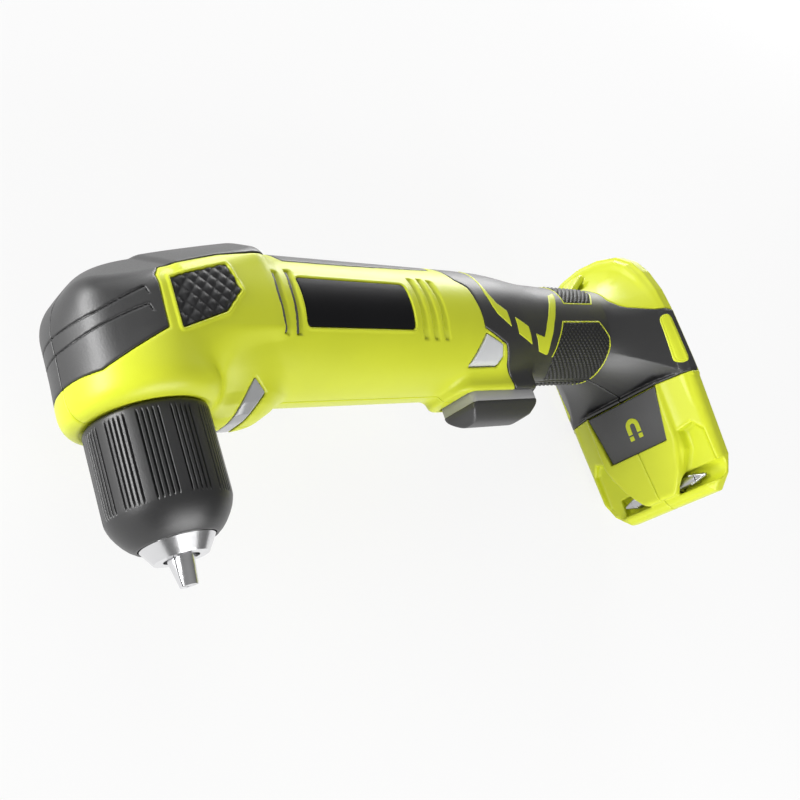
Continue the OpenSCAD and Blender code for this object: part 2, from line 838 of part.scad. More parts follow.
module battery_leads() {
  color([0.1, 0.1, 0.1]) lay() for (s = [-1, 1]) translate([178, s * 6, 2])
    rotate([0, 90, 0]) cylinder(r = 1.2, h = 6, $fn = 16);
}

module terminal_block() {
  color([0.1, 0.1, 0.1]) lay() translate([184, -12, -9]) cube([6, 24, 18.2]);
}

module battery_contacts() {
  color([0.8, 0.62, 0.3]) lay() for (y = [-8, 0, 8]) translate([190, y - 0.5, -3]) cube([11, 1, 6]);
}

module magnet_tray() {
  color(dark) lay() translate([tray_x, 0, 0]) rotate([90, 0, 90]) linear_extrude(2) polygon(tray_zone);
}

module tray_magnet() {
  color([0.4, 0.4, 0.42]) lay() translate([tray_x + 2.1, -10, -52]) cube([3, 20, 12]);
}

module driver_bit() {
  color(steel) lay() translate([bit_x, 0, bit_z]) rotate([90, 0, 0]) {
    cylinder(r = bit_af / sqrt(3), h = bit_len * 0.4, center = true, $fn = 6);
    for (s = [0, 180]) rotate([s, 0, 0]) {
      translate([0, 0, bit_len * 0.19]) cylinder(r = 2.4, h = bit_len * 0.2);
      translate([0, 0, bit_len * 0.38]) cylinder(r1 = 2.4, r2 = 1, h = bit_len * 0.12);
    }
  }
}

module bit_clip() {
  color([0.15, 0.15, 0.15]) lay() difference() {
    translate([bit_x - 4.3, -5, bit_z + 3.95]) cube([8.6, 10, 3.6]);
    translate([bit_x, 0, bit_z]) rotate([90, 0, 0]) cylinder(r = 4.1, h = 30, center = true);
  }
}

module housing_screws() {
  color([0.3, 0.3, 0.32]) lay() screw_row() {
    translate([0, 0, -9]) cylinder(r = 1.4, h = 18.2);
    difference() {
      translate([0, 0, 9]) cylinder(r = 2.8, h = 2.2);
      translate([0, 0, 10]) cylinder(r = 1.3, h = 3, $fn = 6);
    }
  }
}

left_housing();
right_housing();
left_bumper();
right_bumper();
left_top_strip();
right_top_strip();
left_grip();
right_grip();
head_pads();
side_plates();
side_badges();
led_lens();
led_board();
led_leads();
gear_case();
spindle_lower_bearing();
spindle_upper_bearing();
pinion_bearing();
spindle();
bevel_gear();
chuck_body();
chuck_screw();
chuck_nut();
chuck_sleeve();
jaw_1();
jaw_2();
jaw_3();
bevel_pinion();
planet_carrier();
planet_pins();
planet_gear_1();
planet_gear_2();
planet_gear_3();
ring_gear();
gearbox_plate();
sun_pinion();
motor_can();
motor_magnets();
motor_end_bell();
front_bush();
rear_bush();
armature();
commutator();
cooling_fan();
brushes();
motor_leads();
trigger();
trigger_spring();
switch_body();
direction_selector();
battery_leads();
terminal_block();
battery_contacts();
magnet_tray();
tray_magnet();
driver_bit();
bit_clip();
housing_screws();
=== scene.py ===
"""Looks of the right angle drill: moulded shells, rubber, chuck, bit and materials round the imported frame.

Shapes are worked out in millimetres on the tool's own axes: X runs along the motor axis from the head to
the battery foot, Z is up with the chuck pointing down, and Y crosses the split line, with the left half at
negative Y. row() turns these into the stored frame, where the tool lies on its right side.
"""
import json
import math
from itertools import product

import bpy
import numpy as np
from mathutils import Matrix, Vector


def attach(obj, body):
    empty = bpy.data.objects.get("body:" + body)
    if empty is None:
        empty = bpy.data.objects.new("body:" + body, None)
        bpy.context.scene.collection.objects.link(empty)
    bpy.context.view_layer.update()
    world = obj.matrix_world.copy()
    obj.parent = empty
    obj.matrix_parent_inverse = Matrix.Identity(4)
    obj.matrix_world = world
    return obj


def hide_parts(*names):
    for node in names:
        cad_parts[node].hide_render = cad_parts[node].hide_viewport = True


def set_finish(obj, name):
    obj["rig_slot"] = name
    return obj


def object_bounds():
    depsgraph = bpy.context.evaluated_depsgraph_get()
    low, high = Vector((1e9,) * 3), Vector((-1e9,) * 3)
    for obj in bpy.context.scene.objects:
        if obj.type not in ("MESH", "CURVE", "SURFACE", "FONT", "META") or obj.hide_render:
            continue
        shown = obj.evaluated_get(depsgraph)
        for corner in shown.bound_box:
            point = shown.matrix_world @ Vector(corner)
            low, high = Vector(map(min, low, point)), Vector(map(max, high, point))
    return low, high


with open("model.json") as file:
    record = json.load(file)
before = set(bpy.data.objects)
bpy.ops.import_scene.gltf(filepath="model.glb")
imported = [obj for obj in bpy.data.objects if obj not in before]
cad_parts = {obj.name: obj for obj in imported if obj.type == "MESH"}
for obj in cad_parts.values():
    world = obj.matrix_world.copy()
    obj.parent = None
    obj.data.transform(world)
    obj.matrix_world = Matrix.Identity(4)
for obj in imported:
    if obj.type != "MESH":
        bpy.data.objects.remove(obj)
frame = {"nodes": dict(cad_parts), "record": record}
cad_low, cad_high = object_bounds()

# Forms
FAR = 90.0
MOTOR_AXIS = 70.5
BARREL_R = 25.3
HANDLE_R, HANDLE_Z = 20.8, 0.9
BAR_FRONT, BAR_BACK = 8.0, 226.0
WALL, FLARE_WALL = 3.0, 2.0
RUBBER = 1.8
HEAD_FRONT, HEAD_BACK, HEAD_HALF, HEAD_LOW = 23.2, 44.0, 24.8, -30.0
HEAD_ROUND_FROM, HEAD_ROUND_TO = 10, 22
PROW_FACES = [((-0.92, 0.385), (-18.2, 16)), ((-0.6, 0.8), (-18.2, 16))]
ROOF_FACES = [((-0.854, 0.52), (-22.3, 3)), ((-0.507, 0.862), (-15, 15))]
ROOF_LIMIT = ((0.03, 1), (30, 26.6))
CROWN_FACE = ((-0.162, 0.987), (-6, 20.3))
CHAMFER_SLOPE, CHAMFER_LIMIT, CHAMFER_SCALE = (-0.234, 0.57, 0.82), 19.07, 1.026
CHIN_CENTRE = [(-33.5, 28.5), (-32.5, 29), (-31.5, 29.2), (-28.8, 30.6),
               (-25.8, 31.7), (-20, 30.2), (-12, 28), (4, 28)]
CHIN_LENGTH = [(-33.5, 4), (-32.5, 7.6), (-31.5, 9.6), (-28.8, 13.6),
               (-25.8, 16.9), (-20, 20.4), (-12, 22.5), (4, 23)]
CHIN_WIDTH = [(-33.5, 3), (-32.5, 5.4), (-31.5, 7.2), (-28.8, 10),
              (-25.8, 12), (-20, 16.5), (-12, 22), (4, 27)]
CHIN_LOW, CHIN_TOP = -32.9, -4.0
SLEEVE_TOP, SLEEVE_R = -29.6, 18.25
RIM_EDGE, RIM_FRONT, RIM_X, RIM_TAPER = 250.0, 247.5, 257.0, 0.2
HOLLOW_BACK = RIM_EDGE + 14
FLARE_FRONT, FLARE_START, FLARE_END, FLARE_LOW = 218.0, 224.0, RIM_EDGE + 1, -33.0
FLARE_CURVE, BROW_CURVE, BROW_LOW, BROW_HIGH = 1.1, 1.9, -2.0, 22.0
FLARE_NEAR, FOOT_NEAR, TROUGH_NEAR = 212, 218, 222
FOOT_SIDE = [(0, -83.4), (23, -83.4), (29, -77.5), (32.4, -70), (34.4, -30), (34, -2), (33, 9), (30.5, 19),
             (27, 26), (21, 31.6), (11, 35.3), (0, 36.6)]
FOOT_OUTLINE = FOOT_SIDE + [(-y, z) for y, z in FOOT_SIDE[-2:0:-1]]
FOOT_FRONT, FOOT_TOP = 243.0, -30.0
FOOT_CHAMFER = ((-0.906, 0.423), (FOOT_FRONT, 20))
FOOT_RAKE = ((-0.953, -0.303), (FOOT_FRONT, -62))
SHIELD_OUTLINE = [(-20.5, -30), (20.5, -30), (20, -57), (12, -79), (-12, -79), (-20, -57)]
SHIELD_FRONT, SHIELD_BACK, SHIELD_FOLD, SHIELD_SLOPES = 240.9, 248.0, -57.0, (0.05, -0.12)
SKIRT_X, SKIRT_LENGTH, SKIRT_WIDTH, SKIRT_R = 150.4, 17.0, 4.5, 7.4
SKIRT_LOW, SKIRT_TOP = -27.7, -12.0
STRAP_LINE, STRAP_HALF, STRAP_R = [(229, 19.6), (244, 29.6)], 5.0, 1.6
TROUGH_MIDDLE, TROUGH_REACH, TROUGH_SIDE = 0.48, 0.36, 2.6
TROUGH_DEPTH, TROUGH_HALF = 2.6, 1.0
BIT_X, BIT_Z, BIT_LENGTH, BIT_FLATS = 250.6, -75.0, 44.0, 6.35
LENS_CENTRE, LENS_TILT, LENS_WIDTH = (31.5, -27.5), math.radians(36.2), 5.4
LENS_TAPER, LENS_UP, LENS_DOWN = 0.1, 4.1, 9.0
SCREWS = [(38, 16.5), (38, -16.5), (134.5, 16.5), (182, 13.5), (234, 16), (244, -22.5)]
OPEN_SCREWS = SCREWS[:5]


def smooth_min(a, b, soft):
    """The lesser of two forms, blended over a length."""
    h = np.clip(0.5 + 0.5 * (b - a) / soft, 0, 1)
    return b + (a - b) * h - soft * h * (1 - h)


def smooth_max(a, b, soft):
    return -smooth_min(-a, -b, soft)


def smoothstep(x, low, high):
    t = np.clip((x - low) / (high - low), 0, 1)
    return t * t * (3 - 2 * t)


def profile(points, soft):
    """A value along X through the points, with its corners rounded over a length."""
    step, margin = 0.25, 60
    places = np.arange(points[0][0] - margin, points[-1][0] + margin, step)
    values = np.interp(places, *zip(*points))
    window = np.hanning(2 * int(soft / step) + 1)
    padded = np.pad(values, len(window) // 2, mode="edge")
    rounded = np.convolve(padded, window / window.sum(), mode="valid")
    return lambda x: np.interp(x, places, rounded)


def polygon_distance(u, v, points):
    """Signed distance to a closed outline, negative inside."""
    nearest = 1e12
    inside = False
    for (pu, pv), (qu, qv) in zip(points, points[1:] + points[:1]):
        eu, ev = qu - pu, qv - pv
        wu, wv = u - pu, v - pv
        t = np.clip((wu * eu + wv * ev) / (eu * eu + ev * ev), 0, 1)
        nearest = np.minimum(nearest, (wu - eu * t) ** 2 + (wv - ev * t) ** 2)
        if qv != pv:
            inside = inside ^ (((pv > v) != (qv > v)) & (u < eu * (v - pv) / ev + pu))
    return np.where(inside, -1, 1) * np.sqrt(nearest)


def line_distance(u, v, points):
    """Distance to an open line of points."""
    nearest = 1e12
    for (pu, pv), (qu, qv) in zip(points, points[1:]):
        eu, ev = qu - pu, qv - pv
        wu, wv = u - pu, v - pv
        t = np.clip((wu * eu + wv * ev) / (eu * eu + ev * ev), 0, 1)
        nearest = np.minimum(nearest, (wu - eu * t) ** 2 + (wv - ev * t) ** 2)
    return np.sqrt(nearest)


radius_at = profile([(44, BARREL_R), (140, BARREL_R), (152, 25), (160, 24.2), (170, 22.7), (180, 21.4),
                     (200, HANDLE_R), (240, HANDLE_R)], soft=6)
centre_at = profile([(140, 0), (152, 0), (180, 0.8), (200, HANDLE_Z), (240, HANDLE_Z)], soft=6)


def angle_at(x, y, z):
    """Angle round the barrel and handle in degrees: 0 at either side, 90 at the top."""
    return np.degrees(np.arctan2(z - centre_at(x), np.abs(y) + 1e-6))


def round_bar(x, y, z):
    return np.hypot(y, z - centre_at(x)) - radius_at(x)


def plane(u, v, face):
    """Distance past a flat face, given by its direction and a point on it."""
    (du, dv), (pu, pv) = face
    return du * (u - pu) + dv * (v - pv)


def crown_form(x, y, z):
    """Sloping top of the head and the chamfers beside it."""
    sx, sy, sz = CHAMFER_SLOPE
    chamfer = (sx * x + sy * np.abs(y) + sz * z - CHAMFER_LIMIT) / CHAMFER_SCALE
    return smooth_max(plane(x, z, CROWN_FACE), chamfer, soft=1.8)


def head_form(x, y, z):
    """The head: a blunt prow in plan that turns into an oval over the chuck."""
    side = np.abs(y)
    prow = smooth_max(plane(x, side, PROW_FACES[0]), plane(x, side, PROW_FACES[1]), soft=2.5)
    prow = smooth_max(prow, side - HEAD_HALF, soft=5)
    prow = smooth_max(prow, -x - HEAD_FRONT, soft=3)
    ellipse = (np.hypot(x / HEAD_FRONT, y / HEAD_HALF) - 1) * HEAD_FRONT
    low = smoothstep(-z, HEAD_ROUND_FROM, HEAD_ROUND_TO)
    plan = prow * (1 - low) + ellipse * low
    roof = smooth_max(plane(x, z, ROOF_FACES[0]), plane(x, z, ROOF_FACES[1]), soft=6)
    roof = smooth_max(roof, crown_form(x, y, z), soft=4)
    roof = smooth_max(roof, plane(x, z, ROOF_LIMIT), soft=2)
    form = smooth_max(plan, roof, soft=4)
    form = smooth_max(form, HEAD_LOW - z, soft=8)
    return smooth_max(form, x - HEAD_BACK, soft=8)


def chin_form(x, y, z):
    """The bulge behind the chuck that carries the light."""
    half_x = np.interp(z, *zip(*CHIN_LENGTH))
    half_y = np.interp(z, *zip(*CHIN_WIDTH))
    oval = np.hypot((x - np.interp(z, *zip(*CHIN_CENTRE))) / half_x, y / half_y) - 1
    form = smooth_max(oval * np.minimum(half_x, half_y), CHIN_LOW - z, soft=1.5)
    return smooth_max(form, z - CHIN_TOP, soft=4)


def flare_form(x, y, z):
    """From the round handle to the outline of the foot, with a hollow brow at the top."""
    outline = polygon_distance(y, z, FOOT_OUTLINE)
    bar = np.hypot(y, z - HANDLE_Z) - HANDLE_R
    u = np.clip((x - FLARE_START) / (FLARE_END - FLARE_START), 0, 1)
    t = u ** (FLARE_CURVE + BROW_CURVE * smoothstep(z, BROW_LOW, BROW_HIGH))
    form = bar * (1 - t) + np.maximum(outline, FLARE_LOW - z) * t
    return smooth_max(form, FLARE_FRONT - x, soft=1)


def rim_form(x, y, z):
    """The band round the back of the foot."""
    outline = polygon_distance(y, z, FOOT_OUTLINE) + RIM_TAPER * (RIM_X - x)
    return smooth_max(smooth_max(outline, RIM_FRONT - x, soft=3), x - RIM_X, soft=1.2)


def lower_form(x, y, z):
    """The lower part of the foot, below the handle."""
    front = smooth_max(FOOT_FRONT - x, plane(x, np.abs(y), FOOT_CHAMFER), soft=2)
    front = smooth_max(front, plane(x, z, FOOT_RAKE), soft=3)
    front = smooth_max(front, z - FOOT_TOP, soft=2)
    outline = polygon_distance(y, z, FOOT_OUTLINE)
    return smooth_max(smooth_max(front, outline, soft=3), x - RIM_X, soft=1.2)


def shield_form(x, y, z):
    """The raised face of the foot, folded across the middle, that carries the tray."""
    upper, lower = (SHIELD_FRONT - x + slope * (z - SHIELD_FOLD) for slope in SHIELD_SLOPES)
    front = smooth_max(upper, lower, soft=1)
    outline = polygon_distance(y, z, SHIELD_OUTLINE)
    return smooth_max(smooth_max(front, outline, soft=2), x - SHIELD_BACK, soft=1)


def skirt_form(x, y, z):
    """The lip of the casing that hangs round the trigger."""
    past_x = np.maximum(np.abs(x - SKIRT_X) - SKIRT_LENGTH, 0)
    past_y = np.maximum(np.abs(y) - SKIRT_WIDTH, 0)
    plan = np.hypot(past_x, past_y) - SKIRT_R
    return smooth_max(smooth_max(plan, SKIRT_LOW - z, soft=2.5), z - SKIRT_TOP, soft=2)


def strap_form(x, y, z):
    """Bridge from the handle to the rim, over the brow."""
    return smooth_max(line_distance(x, z, STRAP_LINE) - STRAP_R, np.abs(y) - STRAP_HALF, soft=1.2)


def trough_form(x, y, z):
    """The slot under the strap, open at both sides of it."""
    (x0, z0), (x1, z1) = STRAP_LINE
    length = math.hypot(x1 - x0, z1 - z0)
    ux, uz = (x1 - x0) / length, (z1 - z0) / length
    along = (x - x0) * ux + (z - z0) * uz
    off = (z - z0) * ux - (x - x0) * uz
    side = np.abs(y)
    ends = np.abs(along - TROUGH_MIDDLE * length) - TROUGH_REACH * length
    ends = np.maximum(ends, side - STRAP_HALF - TROUGH_SIDE)
    under = np.maximum(np.abs(off + TROUGH_DEPTH) - TROUGH_HALF, ends)
    beside = np.maximum(-TROUGH_DEPTH - TROUGH_HALF - off, STRAP_HALF - side)
    return np.minimum(under, np.maximum(beside, ends))


def beyond(limit, form, x, y, z):
    """A form worked out only where X is past a limit."""
    result = np.full(x.shape, FAR)
    here = x > limit
    if here.any():
        result[here] = form(x[here], y[here], z[here])
    return result


def foot_form(x, y, z):
    form = np.minimum(rim_form(x, y, z), lower_form(x, y, z))
    form = smooth_min(form, shield_form(x, y, z), soft=1.2)
    return smooth_min(form, strap_form(x, y, z), soft=0.8)


def hollow_part(x, y, z):
    """The round of the tool that is hollow, open at the back of the foot."""
    bar = smooth_max(round_bar(x, y, z), crown_form(x, y, z), soft=3)
    bar = smooth_max(smooth_max(bar, BAR_FRONT - x, soft=2), x - BAR_BACK, soft=1)
    form = smooth_min(head_form(x, y, z), bar, soft=3)
    form = smooth_min(form, chin_form(x, y, z), soft=2.5)
    form = smooth_min(form, skirt_form(x, y, z), soft=3)
    flare = np.maximum(beyond(FLARE_NEAR, flare_form, x, y, z), x - HOLLOW_BACK)
    return np.minimum(form, flare)


def close_outside(hollow, x, y, z):
    """The hollow round joined to the foot, with the slot for a lanyard."""
    form = smooth_max(hollow, x - RIM_X, soft=1.2)
    form = smooth_min(form, beyond(FOOT_NEAR, foot_form, x, y, z), soft=1)
    form = smooth_max(form, -beyond(TROUGH_NEAR, trough_form, x, y, z), soft=0.6)
    return np.maximum(form, x - RIM_X)


def outer_form(x, y, z):
    return close_outside(hollow_part(x, y, z), x, y, z)


# Zones: outlines in the side view, or by X and the angle round the tool
DEGREE = 0.4
GAP = 0.12
BURY = 0.8
SEAM = 0.06
CAP_ZONE = [(-60, -19), (-22.4, -19), (-18.5, -19.8), (-1, -11.5), (-0.4, 5.2), (2.7, 9), (23.4, 14),
            (41.8, 15.4), (45.5, 17.2), (47, 20), (47, 60), (-60, 60)]
CAP_LINES = [[(-40, -3.9), (-22.7, -3.6), (-16.8, -3), (-5, 1.4), (-4.3, -0.6)],
             [(-40, -9.1), (-22.5, -8.8), (-5, -4), (-4.3, -6)]]
STRIP_ZONE = [(50.2, 130), (50.2, 42), (51, 38), (79, 38.3), (111, 42.5), (121.5, 44.5), (123, 48),
              (124, 56), (124, 130)]
GRIP_FRONT = [(126.5, 130), (127, 60), (128.3, 41), (129, 28.4), (133.1, 19), (133.9, 4.7), (134.9, -7.9),
              (135.5, -18.9), (148.4, -32.9), (149.7, -39.9), (151.6, -51.8), (162.4, -82.7), (163, -130),
              (400, -130), (400, 130)]
GRIP_BACK = [(100, 60), (228, 60), (229, 24), (231.5, 13.5), (231, 9), (233.7, 5.3), (236.5, 3.3),
             (247, -0.4), (256.4, -1.4), (256.4, -31.6), (100, -31.6)]
PLATE_ZONE = [(51.6, -8.1), (96.9, -8.1), (96.9, 5.7), (51.6, 5.7)]
PLATE_ROUND = 1.6
PAD_ZONE = [(3.3, 4.1), (23.9, 9.7), (26.2, 0.7), (19.4, -6.4), (3.2, -11.7)]
SELECTOR_ZONE = [(136.2, -10.2), (145.9, -13.4), (147.2, -17.4), (145.4, -19.6), (129.4, -19.7)]
FRONT_VENTS = [[(40.9, 8.4), (40, 1), (40.3, -11.5)], [(47.2, 9.5), (45.8, 1.5), (45.6, -11.5)]]
REAR_VENTS = [[(102.6, 23), (102.1, 0), (102.2, -21), (103, -28.3)],
              [(107.6, 24), (107.1, 0), (107.5, -22), (108.3, -28.8)],
              [(112.2, 22), (112.5, 0), (112.8, -22), (113.6, -28.6)]]
LONG_STROKE = [(143.6, 55), (142.2, 37.3), (140.9, 12.8), (142.1, 0), (144.1, -7.2), (151.3, -17.9),
               (150, -3.4), (145.1, 3.8), (143.1, 13.2), (142.7, 24.6), (143.2, 37.3), (144.3, 55)]
SHORT_STROKE = [(154.4, -8.4), (163.4, -16.9), (166.7, -34.5), (156.1, -23.9)]
V_STROKE = [(169, -23.4), (175.9, -27.3), (178.5, -13), (182.9, 3.5), (189.1, 25.1), (195, 31.6),
            (193.8, 24.3), (187.9, 4.2), (184, -12.6), (181.1, -32.7), (180.5, -46.7),
            (179.3, -47.2), (172.9, -42.3)]
UPPER_PATCH = [(203, 86), (201, 60), (196.8, 14.4), (217.3, 16.2), (224.2, 36.4), (226, 60), (226.5, 86)]
LOWER_PATCH = [(184.5, -49.6), (186.8, -30.1), (190.3, -10.1), (216.8, -8.1), (223.7, -26.1), (224.4, -36.6),
               (224.3, -51), (224.3, -69.6), (224.6, -86), (190, -86), (186, -66)]
LOWER_EDGE = LOWER_PATCH[:9]
FINGER_ZONE = [(20.5, -54), (26.5, -52.5), (30, -57), (30, -73), (27, -79), (8, -79), (15, -70), (20, -62)]
FINGER_FLOOR = 250.3
TRAY_ZONE = [(-19.2, -32.2), (19.2, -32.2), (15.3, -56), (-15.3, -56)]
TRAY_FRONT, TRAY_BACK = 242.6, 244.6
RIM_PANEL = [(247.2, -2), (256.4, -2), (256.4, -30.6), (247.2, -30.6)]
BADGE_LINE, BADGE_R = [(249.6, -7), (249.6, -24)], 3.1
TRIGGER_X, TRIGGER_END, TRIGGER_HALF, TRIGGER_SLOT_TOP = 133.4, 172.2, 9.0, -16.2


def unrolled(points):
    """Distance to an outline given by X and the angle round the tool, in millimetres."""
    flat = [(px, DEGREE * angle) for px, angle in points]
    return lambda x, y, z: polygon_distance(x, DEGREE * angle_at(x, y, z), flat)


def unrolled_line(points):
    flat = [(px, DEGREE * angle) for px, angle in points]
    return lambda x, y, z: line_distance(x, DEGREE * angle_at(x, y, z), flat)


def sideways(points):
    return lambda x, y, z: polygon_distance(x, z, points)


def rounded_plan(u, v, low, high, half, r):
    """A rounded rectangle from low to high along u and half wide either side along v."""
    du = np.abs(u - (low + high) / 2) - (high - low) / 2 + r
    dv = np.abs(v) - half + r
    return np.minimum(np.maximum(du, dv), 0) + np.hypot(np.maximum(du, 0), np.maximum(dv, 0)) - r


cap_zone = sideways(CAP_ZONE)
strip_zone = unrolled(STRIP_ZONE)
grip_front = unrolled(GRIP_FRONT)
grip_back = sideways(GRIP_BACK)
pad_zone = sideways(PAD_ZONE)
selector_zone = sideways(SELECTOR_ZONE)


def plate_zone(x, y, z):
    return polygon_distance(x, z, PLATE_ZONE) - PLATE_ROUND


def grip_zone(x, y, z):
    return smooth_max(grip_front(x, y, z), grip_back(x, y, z), soft=1)


def sunk(form, zone, depth, edge=0.6):
    """A form with a flat-floored recess where zone is negative."""
    return smooth_max(form, smooth_min(form + depth, -zone, soft=0.4), edge)


def raised(form, zone, height, edge=0.4):
    return smooth_min(form, smooth_max(form - height, zone, edge), edge)


# Values of the recesses and cuts
PLATE_DEPTH, PAD_DEPTH = 0.9, 0.8
TRIGGER_ROOM, TRIGGER_CORNER = 0.5, 2.6
SPINDLE_ROOM_R, SPINDLE_ROOM_TOP = 15.6, -20.0
SLEEVE_ROOM, SLEEVE_ROOM_TOP = 0.5, SLEEVE_TOP + 0.4
TRAY_ROOM, TRAY_SEAT = 0.25, TRAY_BACK + 0.1
CHANNEL_R, CHANNEL_END = 3.95, 23.0
POCKET_X, POCKET_Y, POCKET_Z, POCKET_UP = 4.4, 5.1, 2.4, 5.4
LOUVRE_WIDTH, LOUVRE_DEPTH, LOUVRE_ROUND, LOUVRE_INNER = 2.9, 2.3, 0.6, 12.0
LOUVRE_SLIT, SLIT_DEPTH = 1.2, 2.0
FRAME_GAP = 0.1
WALL_GROWS, WALL_ENDS = (220, 232), (244, 252)
SKIN_NEAR, LENS_NEAR = 5.0, 4.0
BOSS_R, SCREW_FLOOR = 4.6, 8.9
SCREW_ROOM, GRIP_SCREW_ROOM = 3.1, 3.2
LENS_SEAT, LENS_CUT = 3.2, 9.0
SELECTOR_ROOM, SELECTOR_INNER = 0.35, 9.0
GROOVE_HALF, GROOVE_DEPTH = 0.22, 0.6
RUBBER_SEAM = 2.5 * SEAM
INLAY_DEEP = 0.7


def lens_zone(x, y, z):
    dx, dz = x - LENS_CENTRE[0], z - LENS_CENTRE[1]
    across = dx * math.cos(LENS_TILT) - dz * math.sin(LENS_TILT)
    along = dx * math.sin(LENS_TILT) + dz * math.cos(LENS_TILT)
    sides = np.abs(across) - LENS_WIDTH / 2 - LENS_TAPER * along
    return np.maximum(sides, np.maximum(along - LENS_UP, -along - LENS_DOWN))


def trigger_slot(x, y, z):
    plan = rounded_plan(x, y, TRIGGER_X - TRIGGER_ROOM, TRIGGER_END + TRIGGER_ROOM,
                        TRIGGER_HALF + TRIGGER_ROOM, TRIGGER_CORNER)
    return np.maximum(plan, z - TRIGGER_SLOT_TOP)


def screw_distance(x, z, places):
    return np.min([np.hypot(x - sx, z - sz) for sx, sz in places], axis=0)


def head_cuts(form, x, y, z):
    """Room for the spindle and the top of the sleeve."""
    r = np.hypot(x, y)
    form = smooth_max(form, -np.maximum(r - SPINDLE_ROOM_R, z - SPINDLE_ROOM_TOP), soft=0.6)
    return smooth_max(form, -np.maximum(r - SLEEVE_R - SLEEVE_ROOM, z - SLEEVE_ROOM_TOP), soft=0.4)


def foot_cuts(form, x, y, z):
    """Room for the tray, for fingers at the stored bit, and for the bit and its clip."""
    side = np.abs(y)
    tray = np.maximum(polygon_distance(y, z, TRAY_ZONE) - TRAY_ROOM, x - TRAY_SEAT)
    form = smooth_max(form, -tray, soft=0.5)
    finger = smooth_max(polygon_distance(side, z, FINGER_ZONE), x - FINGER_FLOOR, soft=2)
    form = smooth_max(form, -finger, soft=1.4)
    channel = np.maximum(np.hypot(x - BIT_X, z - BIT_Z) - CHANNEL_R, y - CHANNEL_END)
    pocket = np.maximum(np.abs(x - BIT_X) - POCKET_X, side - POCKET_Y)
    pocket = np.maximum(pocket, np.abs(z - BIT_Z - POCKET_UP) - POCKET_Z)
    return smooth_max(form, -np.minimum(channel, pocket), soft=0.5)


# From X, to X, zone, depth
RECESSES = [
    (-30, 52, cap_zone, RUBBER),
    (48, 128, strip_zone, RUBBER),
    (122, 262, grip_zone, RUBBER),
    (46, 102, plate_zone, PLATE_DEPTH),
    (0, 30, pad_zone, PAD_DEPTH),
]
# From X, to X, zone, height, width
FRAMES = [(46, 103, plate_zone, 0.3, 0.9), (-2, 32, pad_zone, 0.5, 1.0)]


def louvre(points, by_angle, slit):
    """A slot whose floor rises from its front edge to the outside, deep along the slit."""
    line = [(px, DEGREE * v if by_angle else v) for px, v in points]
    heights, places = zip(*sorted((v, px) for px, v in line))

    def cut(form, x, y, z):
        v = DEGREE * angle_at(x, y, z) if by_angle else z
        u = x - np.interp(v, heights, places)
        reach = np.abs(v - (heights[0] + heights[-1]) / 2) - (heights[-1] - heights[0]) / 2
        zone = np.maximum(np.abs(u - LOUVRE_WIDTH / 2) - LOUVRE_WIDTH / 2, reach - LOUVRE_ROUND)
        ramp = LOUVRE_DEPTH * np.clip(1 - u / LOUVRE_WIDTH, 0, 1)
        depth = np.where(u < slit, SLIT_DEPTH, ramp)
        return smooth_max(form, smooth_min(form + depth, -zone, soft=0.3), soft=0.3)

    return cut


# From X, to X, cut
LOUVRES = [(34, 54, louvre(line, False, LOUVRE_SLIT)) for line in FRONT_VENTS]
LOUVRES += [(98, 121, louvre(line, True, 0)) for line in REAR_VENTS]
END_CUTS = [(-24, 45, head_cuts), (236, 262, foot_cuts)]
LENS_REACH, TRIGGER_REACH = (15, 40), (122, 178)


def wall_at(x):
    """Depth of the cavity below the outside, more where the foot flares."""
    return WALL + FLARE_WALL * smoothstep(x, *WALL_GROWS) * (1 - smoothstep(x, *WALL_ENDS))


def within(x, low, high):
    return (x > low) & (x < high)


def casing_form(side, x, y, z):
    """One half of the casing, with its frames, recesses, vents, cavity and openings."""
    hollow = hollow_part(x, y, z)
    form = close_outside(hollow, x, y, z)
    plain = form.copy()
    for low, high, zone, height, width in FRAMES:
        here = within(x, low, high)
        if here.any():
            band = np.abs(zone(x[here], y[here], z[here]) - width / 2 - FRAME_GAP) - width / 2
            form[here] = raised(form[here], band, height)
    for low, high, zone, depth in RECESSES:
        here = within(x, low, high) & (plain > -SKIN_NEAR)
        if here.any():
            form[here] = sunk(form[here], zone(x[here], y[here], z[here]), depth)
    for low, high, cut in LOUVRES:
        here = within(x, low, high) & (plain > -SKIN_NEAR) & (np.abs(y) > LOUVRE_INNER)
        if here.any():
            form[here] = cut(form[here], x[here], y[here], z[here])
    inside = np.minimum(-(hollow + wall_at(x)), screw_distance(x, z, SCREWS) - BOSS_R)
    form = smooth_max(form, inside, soft=0.8)
    if side > 0:
        hole = np.maximum(screw_distance(x, z, OPEN_SCREWS) - SCREW_ROOM, SCREW_FLOOR - y)
        form = smooth_max(form, -hole, soft=0.4)
    for low, high, cut in END_CUTS:
        here = within(x, low, high)
        if here.any():
            form[here] = cut(form[here], x[here], y[here], z[here])
    here = within(x, *LENS_REACH) & (plain > -LENS_NEAR)
    if here.any():
        lens = lens_zone(x[here], y[here], z[here]) - GAP
        form[here] = sunk(form[here], np.maximum(lens, -plain[here] - LENS_SEAT), LENS_CUT, edge=0.4)
    here = within(x, *TRIGGER_REACH)
    if here.any():
        form[here] = smooth_max(form[here], -trigger_slot(x[here], y[here], z[here]), soft=0.6)
        hole = selector_zone(x[here], y[here], z[here]) - SELECTOR_ROOM
        hole = np.maximum(hole, SELECTOR_INNER - np.abs(y[here]))
        form[here] = smooth_max(form[here], -hole, soft=0.6)
    return smooth_max(form, SEAM - side * y, soft=0.5)


